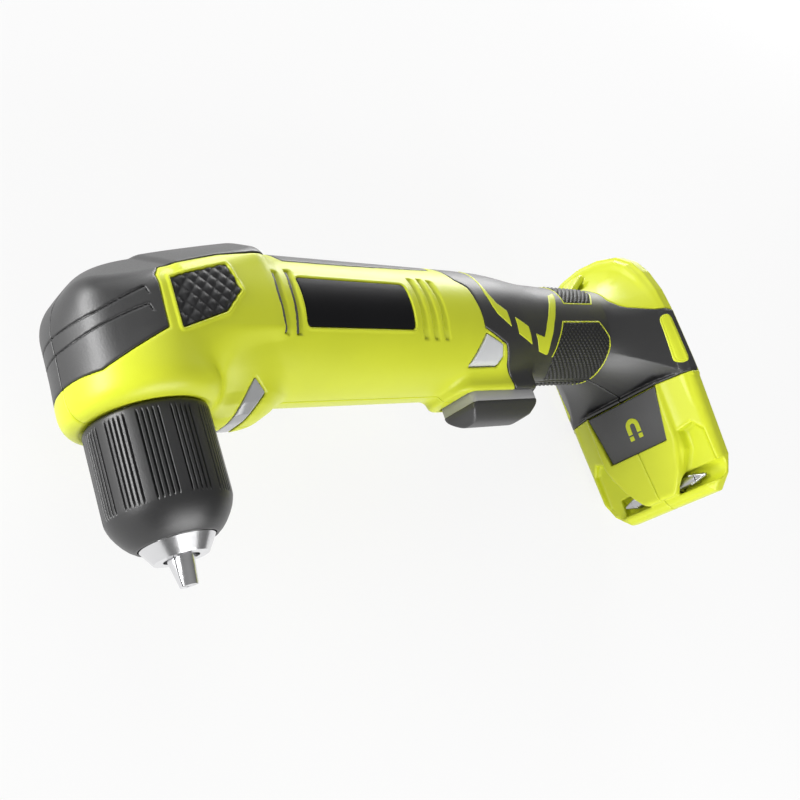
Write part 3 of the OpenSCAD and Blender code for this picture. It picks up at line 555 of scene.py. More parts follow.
def overmould(zone, side, x, y, z, lines=()):
    """A skin of rubber in a recess of one casing half, with grooves along the lines."""
    form = outer_form(x, y, z)
    face = form.copy()
    for line in lines:
        face = sunk(face, line_distance(x, z, line) - GROOVE_HALF, GROOVE_DEPTH, edge=0.2)
    skin = np.maximum(face, -(form + RUBBER + BURY))
    skin = smooth_max(skin, zone(x, y, z) + GAP, soft=0.7)
    return smooth_max(skin, RUBBER_SEAM - side * y, soft=0.2)


def grip_form(side, x, y, z):
    """The rubber of the handle, open at the trigger and over the screws."""
    form = overmould(grip_zone, side, x, y, z)
    form = np.maximum(form, -(hollow_part(x, y, z) + wall_at(x)))
    form = smooth_max(form, -trigger_slot(x, y, z), soft=0.5)
    if side > 0:
        hole = np.maximum(screw_distance(x, z, OPEN_SCREWS) - GRIP_SCREW_ROOM, SCREW_FLOOR - y)
        form = smooth_max(form, -hole, soft=0.4)
    return form


def inlay(zone, top, x, y, z, deep=INLAY_DEEP):
    """A thin layer set into the outside, standing proud of it by top."""
    form = outer_form(x, y, z)
    skin = smooth_max(form - top, zone(x, y, z), soft=0.25)
    return np.maximum(skin, -(form + deep))


def diamonds(u, v, width, height):
    """Rows of raised diamonds, from 0 between them to 1 at their tops."""
    p = np.cos(np.pi * (u / width + v / height)) ** 2
    q = np.cos(np.pi * (u / width - v / height)) ** 2
    return np.sqrt(p * q)


# Meshing
BLOCK, NEAR_BLOCKS, CHUNK, QUICK_COARSE = 4, 2.0, 6000, 1.6
pieces = {}


def surface_net(form, low, high, step):
    """Vertices and quads of the surface where form is zero, worked out finely only close to it."""
    count = [int(math.ceil((b - a) / step / BLOCK)) + 1 for a, b in zip(low, high)]
    start = np.array(low, float) - 0.5 * BLOCK * step
    centre = [s + BLOCK * step * (np.arange(n) + 0.5) - 0.5 * step for s, n in zip(start, count)]
    grid = np.stack(np.meshgrid(*centre, indexing="ij"), -1).reshape(-1, 3)
    rough = form(*grid.T)
    field = rough.reshape(count).astype(np.float32)
    for axis in range(3):
        field = np.repeat(field, BLOCK, axis)
    near = np.argwhere(np.abs(rough.reshape(count)) < NEAR_BLOCKS * BLOCK * step)
    offsets = np.array(list(product(range(BLOCK), repeat=3)))
    for part in np.array_split(near, len(near) // CHUNK + 1):
        spots = (part[:, None] * BLOCK + offsets).reshape(-1, 3)
        field[tuple(spots.T)] = form(*(start + step * spots).T)
    field[[0, -1]] = FAR
    field[:, [0, -1]] = FAR
    field[:, :, [0, -1]] = FAR
    inside = field < 0
    corners = list(product((0, 1), repeat=3))
    total = sum(inside[i:i + inside.shape[0] - 1, j:j + inside.shape[1] - 1, k:k + inside.shape[2] - 1]
                .astype(np.int8) for i, j, k in corners)
    active = (total > 0) & (total < 8)
    cells = np.argwhere(active)
    index = np.full(active.shape, -1, np.int32)
    index[active] = np.arange(len(cells))
    place = np.zeros((len(cells), 3))
    hits = np.zeros(len(cells))
    for a, b in product(corners, corners):
        if sum(b) - sum(a) == 1 and all(p <= q for p, q in zip(a, b)):
            va = field[tuple((cells + a).T)]
            vb = field[tuple((cells + b).T)]
            cross = (va < 0) != (vb < 0)
            t = va[cross] / (va[cross] - vb[cross])
            place[cross] += np.array(a) + t[:, None] * (np.array(b) - np.array(a))
            hits[cross] += 1
    points = start + step * (cells + place / hits[:, None])
    faces = []
    for axis in range(3):
        order = (axis, (axis + 1) % 3, (axis + 2) % 3)
        solid = np.transpose(inside, order)
        here = solid[:-1, 1:-1, 1:-1]
        change = here != solid[1:, 1:-1, 1:-1]
        cell = np.transpose(index, order)
        ring = [cell[:, :-1, :-1], cell[:, 1:, :-1], cell[:, 1:, 1:], cell[:, :-1, 1:]]
        quads = np.stack([c[change] for c in ring], 1)
        flip = ~here[change]
        quads[flip] = quads[flip][:, ::-1]
        faces.append(quads)
    return points, np.concatenate(faces)


def settle(form, points, step, rounds=2, reach=0.04):
    """Draws the points of a net onto the exact surface."""
    for _ in range(rounds):
        value = form(*points.T)
        slope = np.stack([(form(*(points + shift).T) - value) / reach for shift in np.eye(3) * reach], 1)
        size = np.maximum((slope ** 2).sum(1), 0.1)
        points = points - np.clip(value / size, -step / 2, step / 2)[:, None] * slope
    return points


def row(points):
    """Millimetres on the tool's axes to metres in the stored frame."""
    x, y, z = np.asarray(points, float).T
    return np.stack([x, z + MOTOR_AXIS, -y], 1) / 1000


def mesh_piece(name, points, faces, body, slot, nodes=()):
    """A piece that rides a body and takes the place of CAD nodes."""
    mesh = bpy.data.meshes.new(name)
    mesh.from_pydata(row(points).tolist(), [], [list(map(int, f)) for f in faces])
    mesh.polygons.foreach_set("use_smooth", [True] * len(mesh.polygons))
    mesh.update()
    piece = bpy.data.objects.new(name, mesh)
    bpy.context.scene.collection.objects.link(piece)
    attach(piece, body)
    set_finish(piece, slot)
    if nodes:
        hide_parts(*nodes)
    pieces[name] = piece


def moulded(name, form, low, high, step, body, slot, nodes=()):
    """A piece whose surface is where form is zero."""
    size = step * 1
    points, faces = surface_net(form, low, high, size)
    mesh_piece(name, settle(form, points, size), faces, body, slot, nodes)


# Casing and rubber
SIDES = (("left", -1), ("right", 1))
BOX_MARGIN = 0.4


def span(side, x0, x1, z0, z1, y_min=0.0, y_max=36.0):
    """The box of a piece of one half."""
    ys = sorted((side * y_min, side * y_max))
    return (x0, ys[0] - BOX_MARGIN, z0), (x1, ys[1] + BOX_MARGIN, z1)


for name, side in SIDES:
    moulded(name + "_casing", lambda x, y, z, s=side: casing_form(s, x, y, z),
            *span(side, -24, 258, -86, 38), 0.6, "housing", "green_plastic", [name + "_housing"])
    moulded(name + "_cap", lambda x, y, z, s=side: overmould(cap_zone, s, x, y, z, CAP_LINES),
            *span(side, -25, 48, -21, 30, 0, 26), 0.4, "housing", "grey_rubber", [name + "_bumper"])
    moulded(name + "_strip", lambda x, y, z, s=side: overmould(strip_zone, s, x, y, z),
            *span(side, 50, 126, 14, 27, 0, 21), 0.5, "housing", "grey_rubber", [name + "_top_strip"])
    moulded(name + "_grip_skin", lambda x, y, z, s=side: grip_form(s, x, y, z),
            *span(side, 124, 258, -34, 27), 0.6, "housing", "grey_rubber", [name + "_grip"])

# Inlays on the grips and the sides
HALF_GAP = 0.3
PATCH_BUMP, PATCH_WIDTH, PATCH_HEIGHT, PATCH_RISE, PATCH_INSET = 0.45, 2.8, 2.6, 0.08, 0.5
PAD_BUMP, PAD_WIDTH, PAD_HEIGHT, PAD_LEAN = 0.6, 4.2, 4.8, 0.2
PAD_SINK, PAD_INSET, PAD_INNER, PAD_DEEP = 0.15, 0.15, 14.0, 0.75
ACCENT_RISE, OUTLINE_RISE, OUTLINE_HALF = 0.16, 0.2, 0.34
# Sink and depth of the black sheets that paint the shade inside the vent slits.
SLIT_SHADE_SINK, SLIT_SHADE_DEEP = 0.4, 2.4
PLATE_SINK, PLATE_INNER = 0.1, 15.0
RIM_PANEL_RISE, FOOT_INNER = 0.04, 24.0
BADGE_RISE, BADGE_RING_IN, BADGE_RING_HALF, BADGE_RING_DEPTH = 0.3, 0.75, 0.25, 0.2
LENS_SINK, LENS_INSET, LENS_DEEP = 0.1, 0.05, 2.6


def patch_face(zone, x, y, z):
    bumps = PATCH_BUMP * diamonds(x, DEGREE * angle_at(x, y, z), PATCH_WIDTH, PATCH_HEIGHT)
    form = outer_form(x, y, z)
    skin = smooth_max(form - PATCH_RISE - bumps, zone(x, y, z) + PATCH_INSET, soft=0.25)
    return np.maximum(skin, -(form + INLAY_DEEP))


def pad_face(x, y, z):
    bumps = PAD_BUMP * diamonds(x, z - PAD_LEAN * x, PAD_WIDTH, PAD_HEIGHT)
    form = outer_form(x, y, z)
    skin = smooth_max(form + PAD_SINK - bumps, pad_zone(x, y, z) + PAD_INSET, soft=0.3)
    skin = np.maximum(skin, PAD_INNER - np.abs(y))
    return np.maximum(skin, -(form + PAD_DEEP))


upper_patch = unrolled(UPPER_PATCH)
lower_patch = unrolled(LOWER_PATCH)
lower_edge = unrolled_line(LOWER_EDGE)
strokes = [unrolled(points) for points in (LONG_STROKE, SHORT_STROKE, V_STROKE)]
rim_panel = sideways(RIM_PANEL)


def accent_zone(x, y, z):
    return np.minimum(np.minimum(strokes[0](x, y, z), strokes[1](x, y, z)), strokes[2](x, y, z))


def outline_zone(x, y, z):
    upper = np.abs(upper_patch(x, y, z)) - OUTLINE_HALF
    lower = lower_edge(x, y, z) - OUTLINE_HALF
    return np.minimum(upper, lower)


def textures_form(x, y, z):
    return np.minimum(patch_face(upper_patch, x, y, z), patch_face(lower_patch, x, y, z))


def slit_shade_zone(x, y, z):
    """Black sheet along the front edge of each vent behind the head: painted shade for the dark inside of
    the slit.
    """
    nearest = FAR
    for points in FRONT_VENTS:
        heights, places = zip(*sorted((v, px) for px, v in points))
        u = x - np.interp(z, heights, places)
        reach = np.abs(z - (heights[0] + heights[-1]) / 2) - (heights[-1] - heights[0]) / 2
        gap = np.maximum(np.abs(u - LOUVRE_SLIT / 2) - LOUVRE_SLIT / 2, reach)
        nearest = np.minimum(nearest, gap)
    return nearest


def plate_form(x, y, z):
    form = inlay(lambda *place: plate_zone(*place) + GAP, -PLATE_SINK, x, y, z)
    return smooth_max(form, PLATE_INNER - np.abs(y), soft=0.2)


def rim_panel_form(x, y, z):
    return np.maximum(inlay(rim_panel, RIM_PANEL_RISE, x, y, z), FOOT_INNER - np.abs(y))


def badge_form(x, y, z):
    """A bare pill with a line sunk just inside its edge."""
    form = outer_form(x, y, z)
    pill = line_distance(x, z, BADGE_LINE) - BADGE_R
    ring = np.abs(pill + BADGE_RING_IN) - BADGE_RING_HALF
    face = sunk(form - BADGE_RISE, ring, BADGE_RING_DEPTH, edge=0.2)
    skin = smooth_max(face, pill, soft=0.3)
    return np.maximum(np.maximum(skin, -(form + INLAY_DEEP)), FOOT_INNER - np.abs(y))


for name, side in SIDES:
    cut = lambda form, y, s=side: np.maximum(form, HALF_GAP - s * y)
    moulded(name + "_textures", lambda x, y, z, c=cut: c(textures_form(x, y, z), y),
            *span(side, 183, 228, -22, 24, 0, 24), 0.32, "housing", "textured_rubber")
    moulded(name + "_accents", lambda x, y, z, c=cut: c(inlay(accent_zone, ACCENT_RISE, x, y, z), y),
            *span(side, 139, 197, -20, 24, 0, 27), 0.3, "housing", "green_plastic")
    moulded(name + "_outlines", lambda x, y, z, c=cut: c(inlay(outline_zone, OUTLINE_RISE, x, y, z), y),
            *span(side, 182, 229, -24, 25, 0, 25), 0.25, "housing", "green_plastic")
    moulded(name + "_pad", lambda x, y, z, c=cut: c(pad_face(x, y, z), y),
            *span(side, 2, 28, -13, 11, 20, 27), 0.3, "housing", "textured_rubber",
            ["head_pads"] if side < 0 else [])
    moulded(name + "_plate", lambda x, y, z, c=cut: c(plate_form(x, y, z), y),
            *span(side, 49, 100, -11, 9, 20, 27), 0.45, "housing", "black_plate",
            ["side_plates"] if side < 0 else [])
    # Black sheets in the front vent slits: painted shade for the dark inside of each slit.
    moulded(name + "_slit_shades",
            lambda x, y, z, c=cut: c(inlay(slit_shade_zone, -SLIT_SHADE_SINK, x, y, z, SLIT_SHADE_DEEP), y),
            *span(side, 38, 50, -13, 11, 18, 27), 0.3, "housing", "black_plastic")
    moulded(name + "_rim_panel", lambda x, y, z, c=cut: c(rim_panel_form(x, y, z), y),
            *span(side, 246, 258, -32, 0, 24, 36), 0.35, "housing", "grey_rubber")
    moulded(name + "_badge", lambda x, y, z, c=cut: c(badge_form(x, y, z), y),
            *span(side, 245, 254, -29, -2, 24, 36), 0.25, "housing", "green_plastic",
            ["side_badges"] if side < 0 else [])


def lens_form(x, y, z):
    form = outer_form(x, y, z)
    skin = smooth_max(form + LENS_SINK, lens_zone(x, y, z) + LENS_INSET, soft=0.6)
    return np.maximum(skin, -(form + LENS_DEEP))


moulded("lens", lens_form, (18, -20, -38), (38, 20, -20), 0.35, "housing", "clear_lens", ["led_lens"])

# Chuck
SLEEVE_OUTER = [(17.2, -29.6), (17.75, -29.75), (18.1, -30.1), (18.25, -30.6), (18.25, -31), (18.25, -31.4)]
SLEEVE_LOWER = [(18.05, -57.2), (17.75, -58.2), (17.2, -59.6), (16.1, -61.5),
                (14.8, -63.3), (13.4, -64.8), (12.3, -65.6), (11.8, -66), (11.3, -66), (11.15, -65.7)]
SLEEVE_INNER = [(11.15, -64.9), (13.1, -63.2), (15.4, -59.4), (16.3, -55),
                (16.3, -40), (16.3, -30), (16.6, -29.6)]
SLEEVE_SAMPLES, SLEEVE_QUICK_SAMPLES = 1080, 540
FLUTE_GROUPS, FLUTE_COUNT, FLUTE_STEP, FLUTE_DEPTH, FLUTE_ROWS = 12, 5, 4.6, 0.8, 30
FLUTE_TOP, FLUTE_LOW, FLUTE_FADE = -31.4, -57, 1
FLUTE_START, FLUTE_END, FLUTE_MIN_R = FLUTE_TOP - 0.3, FLUTE_LOW + 0.1, 17.9
FLUTE_FLOOR, FLUTE_FLANK = 1.25, 0.85
BELLY_TOP, BELLY_CURVE = -54.5, 0.02


def fluted_sleeve():
    """Points and quads of the sleeve, turned from its outline, with groups of flutes round it."""
    samples = SLEEVE_SAMPLES
    fluted = []
    for z in np.linspace(FLUTE_START, FLUTE_END, FLUTE_ROWS):
        fluted.append((SLEEVE_R - BELLY_CURVE * max(0, BELLY_TOP - z) ** 2, z))
    outline = np.array(SLEEVE_OUTER + fluted + SLEEVE_LOWER + SLEEVE_INNER)
    radius, height = outline.T
    angle = np.arange(samples) * 360 / samples
    local = (angle + 180 / FLUTE_GROUPS) % (360 / FLUTE_GROUPS) - 180 / FLUTE_GROUPS
    lines = FLUTE_STEP * (np.arange(FLUTE_COUNT) - (FLUTE_COUNT - 1) / 2)
    off = np.abs(local[:, None] - lines).min(1)
    groove = np.clip(FLUTE_FLOOR - off / FLUTE_FLANK, 0, 1)
    window = smoothstep(-height, -FLUTE_TOP, FLUTE_FADE - FLUTE_TOP)
    window = window * smoothstep(height, FLUTE_LOW, FLUTE_LOW + FLUTE_FADE)
    window = window * (radius > FLUTE_MIN_R)
    r = radius[:, None] - FLUTE_DEPTH * window[:, None] * groove[None]
    turn = np.radians(angle)[None]
    level = np.broadcast_to(height[:, None], r.shape)
    points = np.stack([r * np.cos(turn), r * np.sin(turn), level], -1)
    rows = len(outline)
    i, j = np.meshgrid(np.arange(rows), np.arange(samples), indexing="ij")
    down, on = (i + 1) % rows, (j + 1) % samples
    faces = np.stack([i * samples + j, down * samples + j, down * samples + on, i * samples + on], -1)
    return points.reshape(-1, 3), faces.reshape(-1, 4)


mesh_piece("sleeve", *fluted_sleeve(), "sleeve", "black_sleeve", ["chuck_sleeve"])

# Trigger and selector
TRIGGER_TOP = -22.0
TRIGGER_SIDE = [(TRIGGER_X, TRIGGER_TOP), (TRIGGER_X, -33.4), (136.6, -37.8), (163, -38), (169, -36),
                (171.8, -32.4), (TRIGGER_END, -29), (TRIGGER_END, TRIGGER_TOP)]
KEEL_LOW, KEEL_CURVE, KEEL_SCALE = -38.0, 0.082, 0.7
# Top edge of the dark sheet, and its rise: the sheet paints the shade under the trigger's band.
BAND_LOW, SHADE_SHEET_RISE = -31.2, 0.15
PLUNGER_X, PLUNGER_Z, PLUNGER_R, PLUNGER_HALF = 158.0, -16.5, 2.5, 6.5
SPRING_R, SPRING_ROOM, SPRING_FLOOR = 4.2, 0.95, -27.4
SELECTOR_RISE, BUTTON_INNER = 0.3, 13.0
SELECTOR_BAR, SELECTOR_BAR_HALF = (140.3, -14.4), (4.3, 14.0, 2.6)


def paddle_form(x, y, z):
    """Straight sides over a rounded underside for the finger."""
    plan = rounded_plan(x, y, TRIGGER_X, TRIGGER_END, TRIGGER_HALF, TRIGGER_CORNER)
    form = smooth_max(polygon_distance(x, z, TRIGGER_SIDE), plan, soft=1.6)
    form = smooth_max(form, z - TRIGGER_TOP, soft=0.6)
    return smooth_max(form, KEEL_SCALE * (KEEL_LOW + KEEL_CURVE * y * y - z), soft=0.8)


def trigger_form(x, y, z):
    """The paddle and its plunger, with a ring of room for the spring at full pull."""
    r = np.hypot(x - PLUNGER_X, y)
    ring = np.maximum(np.abs(r - SPRING_R) - SPRING_ROOM, SPRING_FLOOR - z)
    form = np.maximum(paddle_form(x, y, z), -ring)
    plunger = np.maximum(r - PLUNGER_R, np.abs(z - PLUNGER_Z) - PLUNGER_HALF)
    return np.minimum(form, plunger)


def shade_sheet_form(x, y, z):
    """A dark sheet over the trigger below the band at its top: painted shade for the underside beneath the
    band.
    """
    form = paddle_form(x, y, z)
    skin = smooth_max(form - SHADE_SHEET_RISE, z - BAND_LOW, soft=0.2)
    return np.maximum(skin, -(form + INLAY_DEEP))


def selector_form(x, y, z):
    """A button on either side, joined by a bar through the casing."""
    button = smooth_max(selector_zone(x, y, z), round_bar(x, y, z) - SELECTOR_RISE, soft=1.2)
    button = np.maximum(button, BUTTON_INNER - np.abs(y))
    (bar_x, bar_z), (half_x, half_y, half_z) = SELECTOR_BAR, SELECTOR_BAR_HALF
    bar = np.maximum(np.abs(x - bar_x) - half_x, np.abs(y) - half_y)
    bar = np.maximum(bar, np.abs(z - bar_z) - half_z)
    return np.minimum(button, bar)


moulded("trigger_paddle", trigger_form, (132.5, -10, -39), (173, 10, -9), 0.4,
        "trigger", "trigger_grey", ["trigger"])
# Dark sheet on the trigger's underside: painted shade beneath the band.
moulded("trigger_shade_sheet", shade_sheet_form, (132.5, -10, -39.2), (173.5, 10, -30), 0.3,
        "trigger", "grey_rubber")
moulded("selector_button", selector_form, (127, -26, -22), (149, 26, -9), 0.4,
        "selector", "selector_grey", ["direction_selector"])

# Tray and stored bit
TRAY_INSET = 0.05
ICON_Y, ICON_Z, ICON_R, ICON_HALF, ICON_LOW = -1.6, -43.8, 2.4, 1.1, -50.0
ICON_RISE, ICON_TIP, ICON_GAP, ICON_STEPS = 0.25, 2.4, 0.35, 8
ICON_LINE = [(ICON_Y - ICON_R, ICON_LOW)]
for step in range(ICON_STEPS + 1):
    turn = math.pi * (1 - step / ICON_STEPS)
    ICON_LINE.append((ICON_Y + ICON_R * math.cos(turn), ICON_Z + ICON_R * math.sin(turn)))
ICON_LINE.append((ICON_Y + ICON_R, ICON_LOW))
BIT_BODY, BIT_NECK, BIT_NECK_R, BIT_TAPER = 8.8, 17.0, 2.4, (0.94, 0.34)
FIN_START, FIN_HALF, FIN_CORE_R = 14.5, 0.5, 1.25


def tray_form(x, y, z):
    depth = np.abs(x - (TRAY_FRONT + TRAY_BACK) / 2) - (TRAY_BACK - TRAY_FRONT) / 2
    return smooth_max(polygon_distance(y, z, TRAY_ZONE) + TRAY_INSET, depth, soft=0.6)


def icon_form(x, y, z):
    """A bent bar with a gap before each tip."""
    line = np.maximum(line_distance(y, z, ICON_LINE) - ICON_HALF, ICON_LOW - z)
    line = np.maximum(line, ICON_GAP - np.abs(z - ICON_LOW - ICON_TIP))
    return smooth_max(line, np.abs(x - TRAY_FRONT) - ICON_RISE, soft=0.2)


def bit_form(x, y, z):
    """A hexagon in the middle, with a neck and a cross tip at either end."""
    u, v, w = x - BIT_X, z - BIT_Z, np.abs(y)
    hexagon = np.maximum(np.abs(u), np.abs(0.5 * u + 0.866 * v))
    hexagon = np.maximum(hexagon, np.abs(0.5 * u - 0.866 * v)) - BIT_FLATS / 2
    body = smooth_max(hexagon, w - BIT_BODY, soft=0.6)
    r = np.hypot(u, v)
    neck = np.maximum(r - BIT_NECK_R, w - BIT_NECK)
    tip = BIT_TAPER[0] * (r - BIT_NECK_R) + BIT_TAPER[1] * (w - BIT_NECK)
    tip = np.maximum(tip, w - BIT_LENGTH / 2)
    fins = np.minimum(np.abs(u + v), np.abs(u - v)) / 1.414 - FIN_HALF
    tip = smooth_max(tip, np.minimum(fins, r - FIN_CORE_R), soft=0.3)
    tip = np.maximum(tip, FIN_START - w)
    return smooth_min(np.minimum(body, neck), tip, soft=0.3)


moulded("tray", tray_form, (242, -20, -57), (245, 20, -31), 0.4, "housing", "black_plastic", ["magnet_tray"])
moulded("tray_icon", icon_form, (242, -6, -51), (243.2, 3, -39.5), 0.2, "housing", "green_plastic")
moulded("hex_bit", bit_form, (246.5, -22.5, -79), (254.7, 22.5, -71), 0.28, "bit", "bit_steel",
        ["driver_bit"])


# Materials
CLOUD_SCALE, CLOUD_DETAIL, CLOUD_ENDS = 45, 4, (0.3, 0.7)
SPECK_DETAIL, GLOSS_SPREAD, BUMP_DEPTH, COAT_ROUGH = 2, 0.15, 0.0003, 0.15


def finish(name, colour, rough, metallic=0.0, vary=0.08, grain=2200, relief=0.08, coat=0.0, specular=0.5,
           brushed=None):
    """A moulded, rubber or metal surface with cloudy colour, uneven gloss and a fine grain."""
    material = bpy.data.materials.new(name)
    material.use_nodes = True
    nodes, links = material.node_tree.nodes, material.node_tree.links
    shader = nodes["Principled BSDF"]
    shader.inputs["Metallic"].default_value = metallic
    shader.inputs["Specular IOR Level"].default_value = specular
    shader.inputs["Coat Weight"].default_value = coat
    shader.inputs["Coat Roughness"].default_value = COAT_ROUGH
    place = nodes.new("ShaderNodeTexCoord").outputs["Object"]
    cloud = nodes.new("ShaderNodeTexNoise")
    cloud.inputs["Scale"].default_value = CLOUD_SCALE
    cloud.inputs["Detail"].default_value = CLOUD_DETAIL
    links.new(place, cloud.inputs["Vector"])
    ramp = nodes.new("ShaderNodeValToRGB")
    dark, light = ramp.color_ramp.elements
    dark.position, light.position = CLOUD_ENDS
    dark.color = [c * (1 - vary) for c in colour] + [1]
    light.color = [min(1, c * (1 + vary)) for c in colour] + [1]
    links.new(cloud.outputs["Fac"], ramp.inputs["Fac"])
    links.new(ramp.outputs["Color"], shader.inputs["Base Color"])
    speck = nodes.new("ShaderNodeTexNoise")
    speck.inputs["Scale"].default_value = grain
    speck.inputs["Detail"].default_value = SPECK_DETAIL
    source = place
    if brushed:
        mapping = nodes.new("ShaderNodeMapping")
        mapping.inputs["Scale"].default_value = brushed
        links.new(place, mapping.inputs["Vector"])
        source = mapping.outputs["Vector"]
    links.new(source, speck.inputs["Vector"])
    gloss = nodes.new("ShaderNodeMapRange")
    gloss.inputs["To Min"].default_value = rough * (1 - GLOSS_SPREAD)
    gloss.inputs["To Max"].default_value = rough * (1 + GLOSS_SPREAD)
    links.new(speck.outputs["Fac"], gloss.inputs["Value"])
    links.new(gloss.outputs["Result"], shader.inputs["Roughness"])
    bump = nodes.new("ShaderNodeBump")
    bump.inputs["Strength"].default_value = relief
    bump.inputs["Distance"].default_value = BUMP_DEPTH
    links.new(speck.outputs["Fac"], bump.inputs["Height"])
    links.new(bump.outputs["Normal"], shader.inputs["Normal"])
    return material


FINISHES = {
    "green_plastic": finish("green_plastic", (0.58, 0.635, 0.028), 0.38, vary=0.025, specular=0.4),
    "grey_rubber": finish("grey_rubber", (0.016, 0.016, 0.0165), 0.44, vary=0.12, grain=1700, relief=0.12,
                          specular=0.85),
    "textured_rubber": finish("textured_rubber", (0.013, 0.013, 0.014), 0.5, vary=0.15, relief=0.12),
    "black_plate": finish("black_plate", (0.006, 0.006, 0.007), 0.4, vary=0.1, relief=0.03, specular=0.15),
    "clear_lens": finish("clear_lens", (0.33, 0.335, 0.34), 0.16, vary=0.05, relief=0.05, coat=0.6),
    "circuit_board": finish("circuit_board", (0.03, 0.16, 0.06), 0.5, vary=0.2, grain=900),
    "lead_insulation": finish("lead_insulation", (0.3, 0.03, 0.03), 0.45, vary=0.1),
    "cast_case": finish("cast_case", (0.42, 0.43, 0.44), 0.45, 1.0, 0.1, 1200, 0.3),
    "black_sleeve": finish("black_sleeve", (0.014, 0.014, 0.0145), 0.4, vary=0.1, relief=0.1, specular=0.7),
    "trigger_grey": finish("trigger_grey", (0.42, 0.42, 0.425), 0.42, vary=0.06, relief=0.1),
    "selector_grey": finish("selector_grey", (0.58, 0.59, 0.6), 0.35, vary=0.04, relief=0.06),
    "black_plastic": finish("black_plastic", (0.07, 0.07, 0.072), 0.5, vary=0.1, grain=1500, relief=0.2),
    "contact_brass": finish("contact_brass", (0.72, 0.5, 0.2), 0.3, 1.0, 0.1),
    "bush_bronze": finish("bush_bronze", (0.5, 0.33, 0.15), 0.45, 1.0, 0.15, 1500, 0.2),
    "carbon": finish("carbon", (0.03, 0.03, 0.032), 0.6, 0.2, 0.2, 1800, 0.25),
    "bright_steel": finish("bright_steel", (0.72, 0.72, 0.73), 0.24, 1.0, 0.05, 160, 0.06,
                           brushed=(1, 30, 1)),
    "dark_steel": finish("dark_steel", (0.16, 0.16, 0.165), 0.4, 1.0, 0.1, 900, 0.1),
    "gear_steel": finish("gear_steel", (0.5, 0.5, 0.51), 0.3, 1.0, 0.08, 700, 0.1),
    "bit_steel": finish("bit_steel", (0.42, 0.42, 0.43), 0.32, 1.0, 0.1, 500, 0.08, brushed=(1, 1, 12)),
}
for piece in pieces.values():
    piece.data.materials.append(FINISHES[piece["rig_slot"]])
for part in frame["record"]["subparts"]:
    for place in frame["nodes"][part["node"]].material_slots:
        place.material = FINISHES[part["material_slot"]]

# Camera and light
FOCAL_PX, IMAGE_PX, SENSOR, CLIP_START = 1048.15, 800, 36, 0.01
CAMERA_AT = (-0.1613, -0.0554, 0.2447)
CAMERA_RIGHT = Vector((0.7043, -0.3056, 0.6408))
CAMERA_UP = Vector((0.0286, 0.9142, 0.4044))
CAMERA_BACK = -Vector((0.7094, 0.2664, -0.6525))
FLOOR_REACH, FLOOR_TONE, FLOOR_ROUGH, FLOOR_GLOW = 6, 0.85, 0.9, 0.85
SKY_LOW, SKY_HIGH = 0.1, 0.32
AIM = Vector((0.11, 0.07, 0))

camera_data = bpy.data.cameras.new("camera")
camera_data.sensor_width = SENSOR
camera_data.lens = FOCAL_PX / IMAGE_PX * SENSOR
camera_data.clip_start = CLIP_START
camera = bpy.data.objects.new("camera", camera_data)
bpy.context.scene.collection.objects.link(camera)
turned = Matrix((CAMERA_RIGHT, CAMERA_UP, CAMERA_BACK)).transposed().to_4x4()
camera.matrix_world = Matrix.Translation(CAMERA_AT) @ turned
bpy.context.scene.camera = camera

floor_mesh = bpy.data.meshes.new("floor")
floor_z = cad_low[2]
floor_mesh.from_pydata([(-FLOOR_REACH, -FLOOR_REACH, floor_z), (FLOOR_REACH, -FLOOR_REACH, floor_z),
                        (FLOOR_REACH, FLOOR_REACH, floor_z), (-FLOOR_REACH, FLOOR_REACH, floor_z)],
                       [], [(0, 1, 2, 3)])
floor = bpy.data.objects.new("floor", floor_mesh)
bpy.context.scene.collection.objects.link(floor)
paper = bpy.data.materials.new("floor")
paper.use_nodes = True
nodes, links = paper.node_tree.nodes, paper.node_tree.links
matt = nodes["Principled BSDF"]
matt.inputs["Base Color"].default_value = (FLOOR_TONE, FLOOR_TONE, FLOOR_TONE, 1)
matt.inputs["Roughness"].default_value = FLOOR_ROUGH
matt.inputs["Specular IOR Level"].default_value = 0
glow = nodes.new("ShaderNodeEmission")
path = nodes.new("ShaderNodeLightPath")
seen = nodes.new("ShaderNodeMath")
seen.operation = "MULTIPLY"
seen.inputs[1].default_value = FLOOR_GLOW
links.new(path.outputs["Is Camera Ray"], seen.inputs[0])
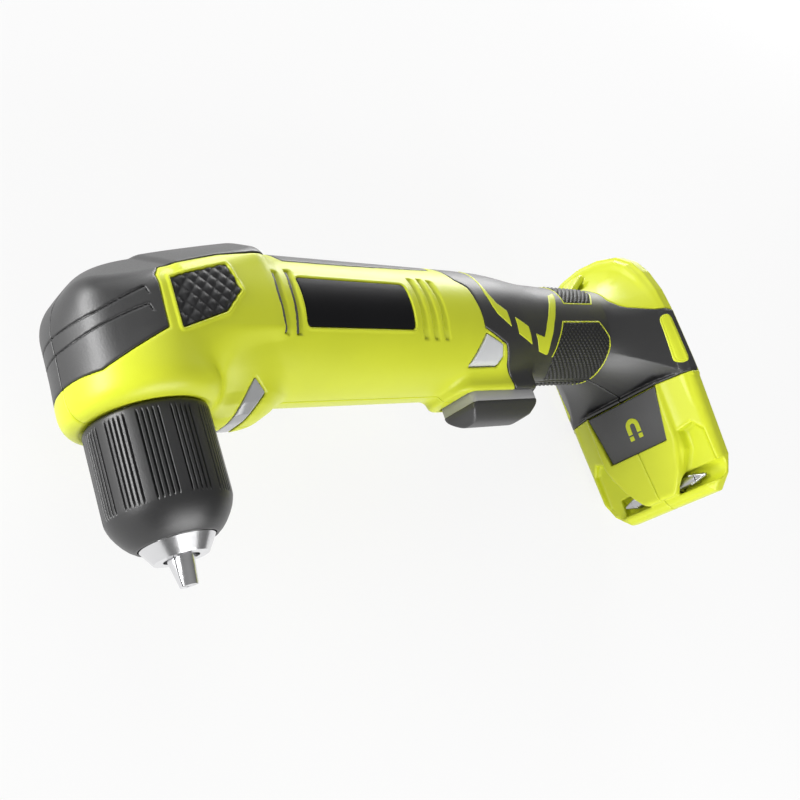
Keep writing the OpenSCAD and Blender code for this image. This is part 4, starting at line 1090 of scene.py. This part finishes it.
through = nodes.new("ShaderNodeMath")
through.operation = "MAXIMUM"
links.new(path.outputs["Is Glossy Ray"], through.inputs[0])
links.new(path.outputs["Is Transmission Ray"], through.inputs[1])
share = nodes.new("ShaderNodeMath")
share.operation = "MAXIMUM"
links.new(seen.outputs[0], share.inputs[0])
links.new(through.outputs[0], share.inputs[1])
blend = nodes.new("ShaderNodeMixShader")
links.new(share.outputs[0], blend.inputs[0])
links.new(matt.outputs[0], blend.inputs[1])
links.new(glow.outputs[0], blend.inputs[2])
links.new(blend.outputs[0], nodes["Material Output"].inputs["Surface"])
floor_mesh.materials.append(paper)


def area_light(name, place, power, width, height):
    light = bpy.data.lights.new(name, "AREA")
    light.energy = power
    light.shape = "RECTANGLE"
    light.size = width
    light.size_y = height
    lamp = bpy.data.objects.new(name, light)
    lamp.location = place
    lamp.rotation_euler = (AIM - Vector(place)).to_track_quat("-Z", "Y").to_euler()
    bpy.context.scene.collection.objects.link(lamp)


area_light("left", (-0.80, 0.30, 0.10), 12.0, 0.9, 0.26)
area_light("above", (0.0, 0.75, 0.5), 2.4, 0.7, 0.7)
area_light("behind", (0.75, 0.95, 0.16), 9.0, 0.8, 0.3)
area_light("below", (0.12, -0.62, 0.22), 4.6, 0.6, 0.4)
world = bpy.data.worlds.new("world")
bpy.context.scene.world = world
world.use_nodes = True
nodes, links = world.node_tree.nodes, world.node_tree.links
heading = nodes.new("ShaderNodeTexCoord")
axes = nodes.new("ShaderNodeSeparateXYZ")
links.new(heading.outputs["Generated"], axes.inputs[0])
sky = nodes.new("ShaderNodeMapRange")
sky.inputs["From Min"].default_value = 0.0
sky.inputs["From Max"].default_value = 1.0
sky.inputs["To Min"].default_value = SKY_LOW
sky.inputs["To Max"].default_value = SKY_HIGH
links.new(axes.outputs["Z"], sky.inputs["Value"])
links.new(sky.outputs["Result"], nodes["Background"].inputs["Strength"])
nodes["Background"].inputs["Color"].default_value = (1, 1, 1, 1)
bpy.context.scene.view_settings.view_transform = "Standard"
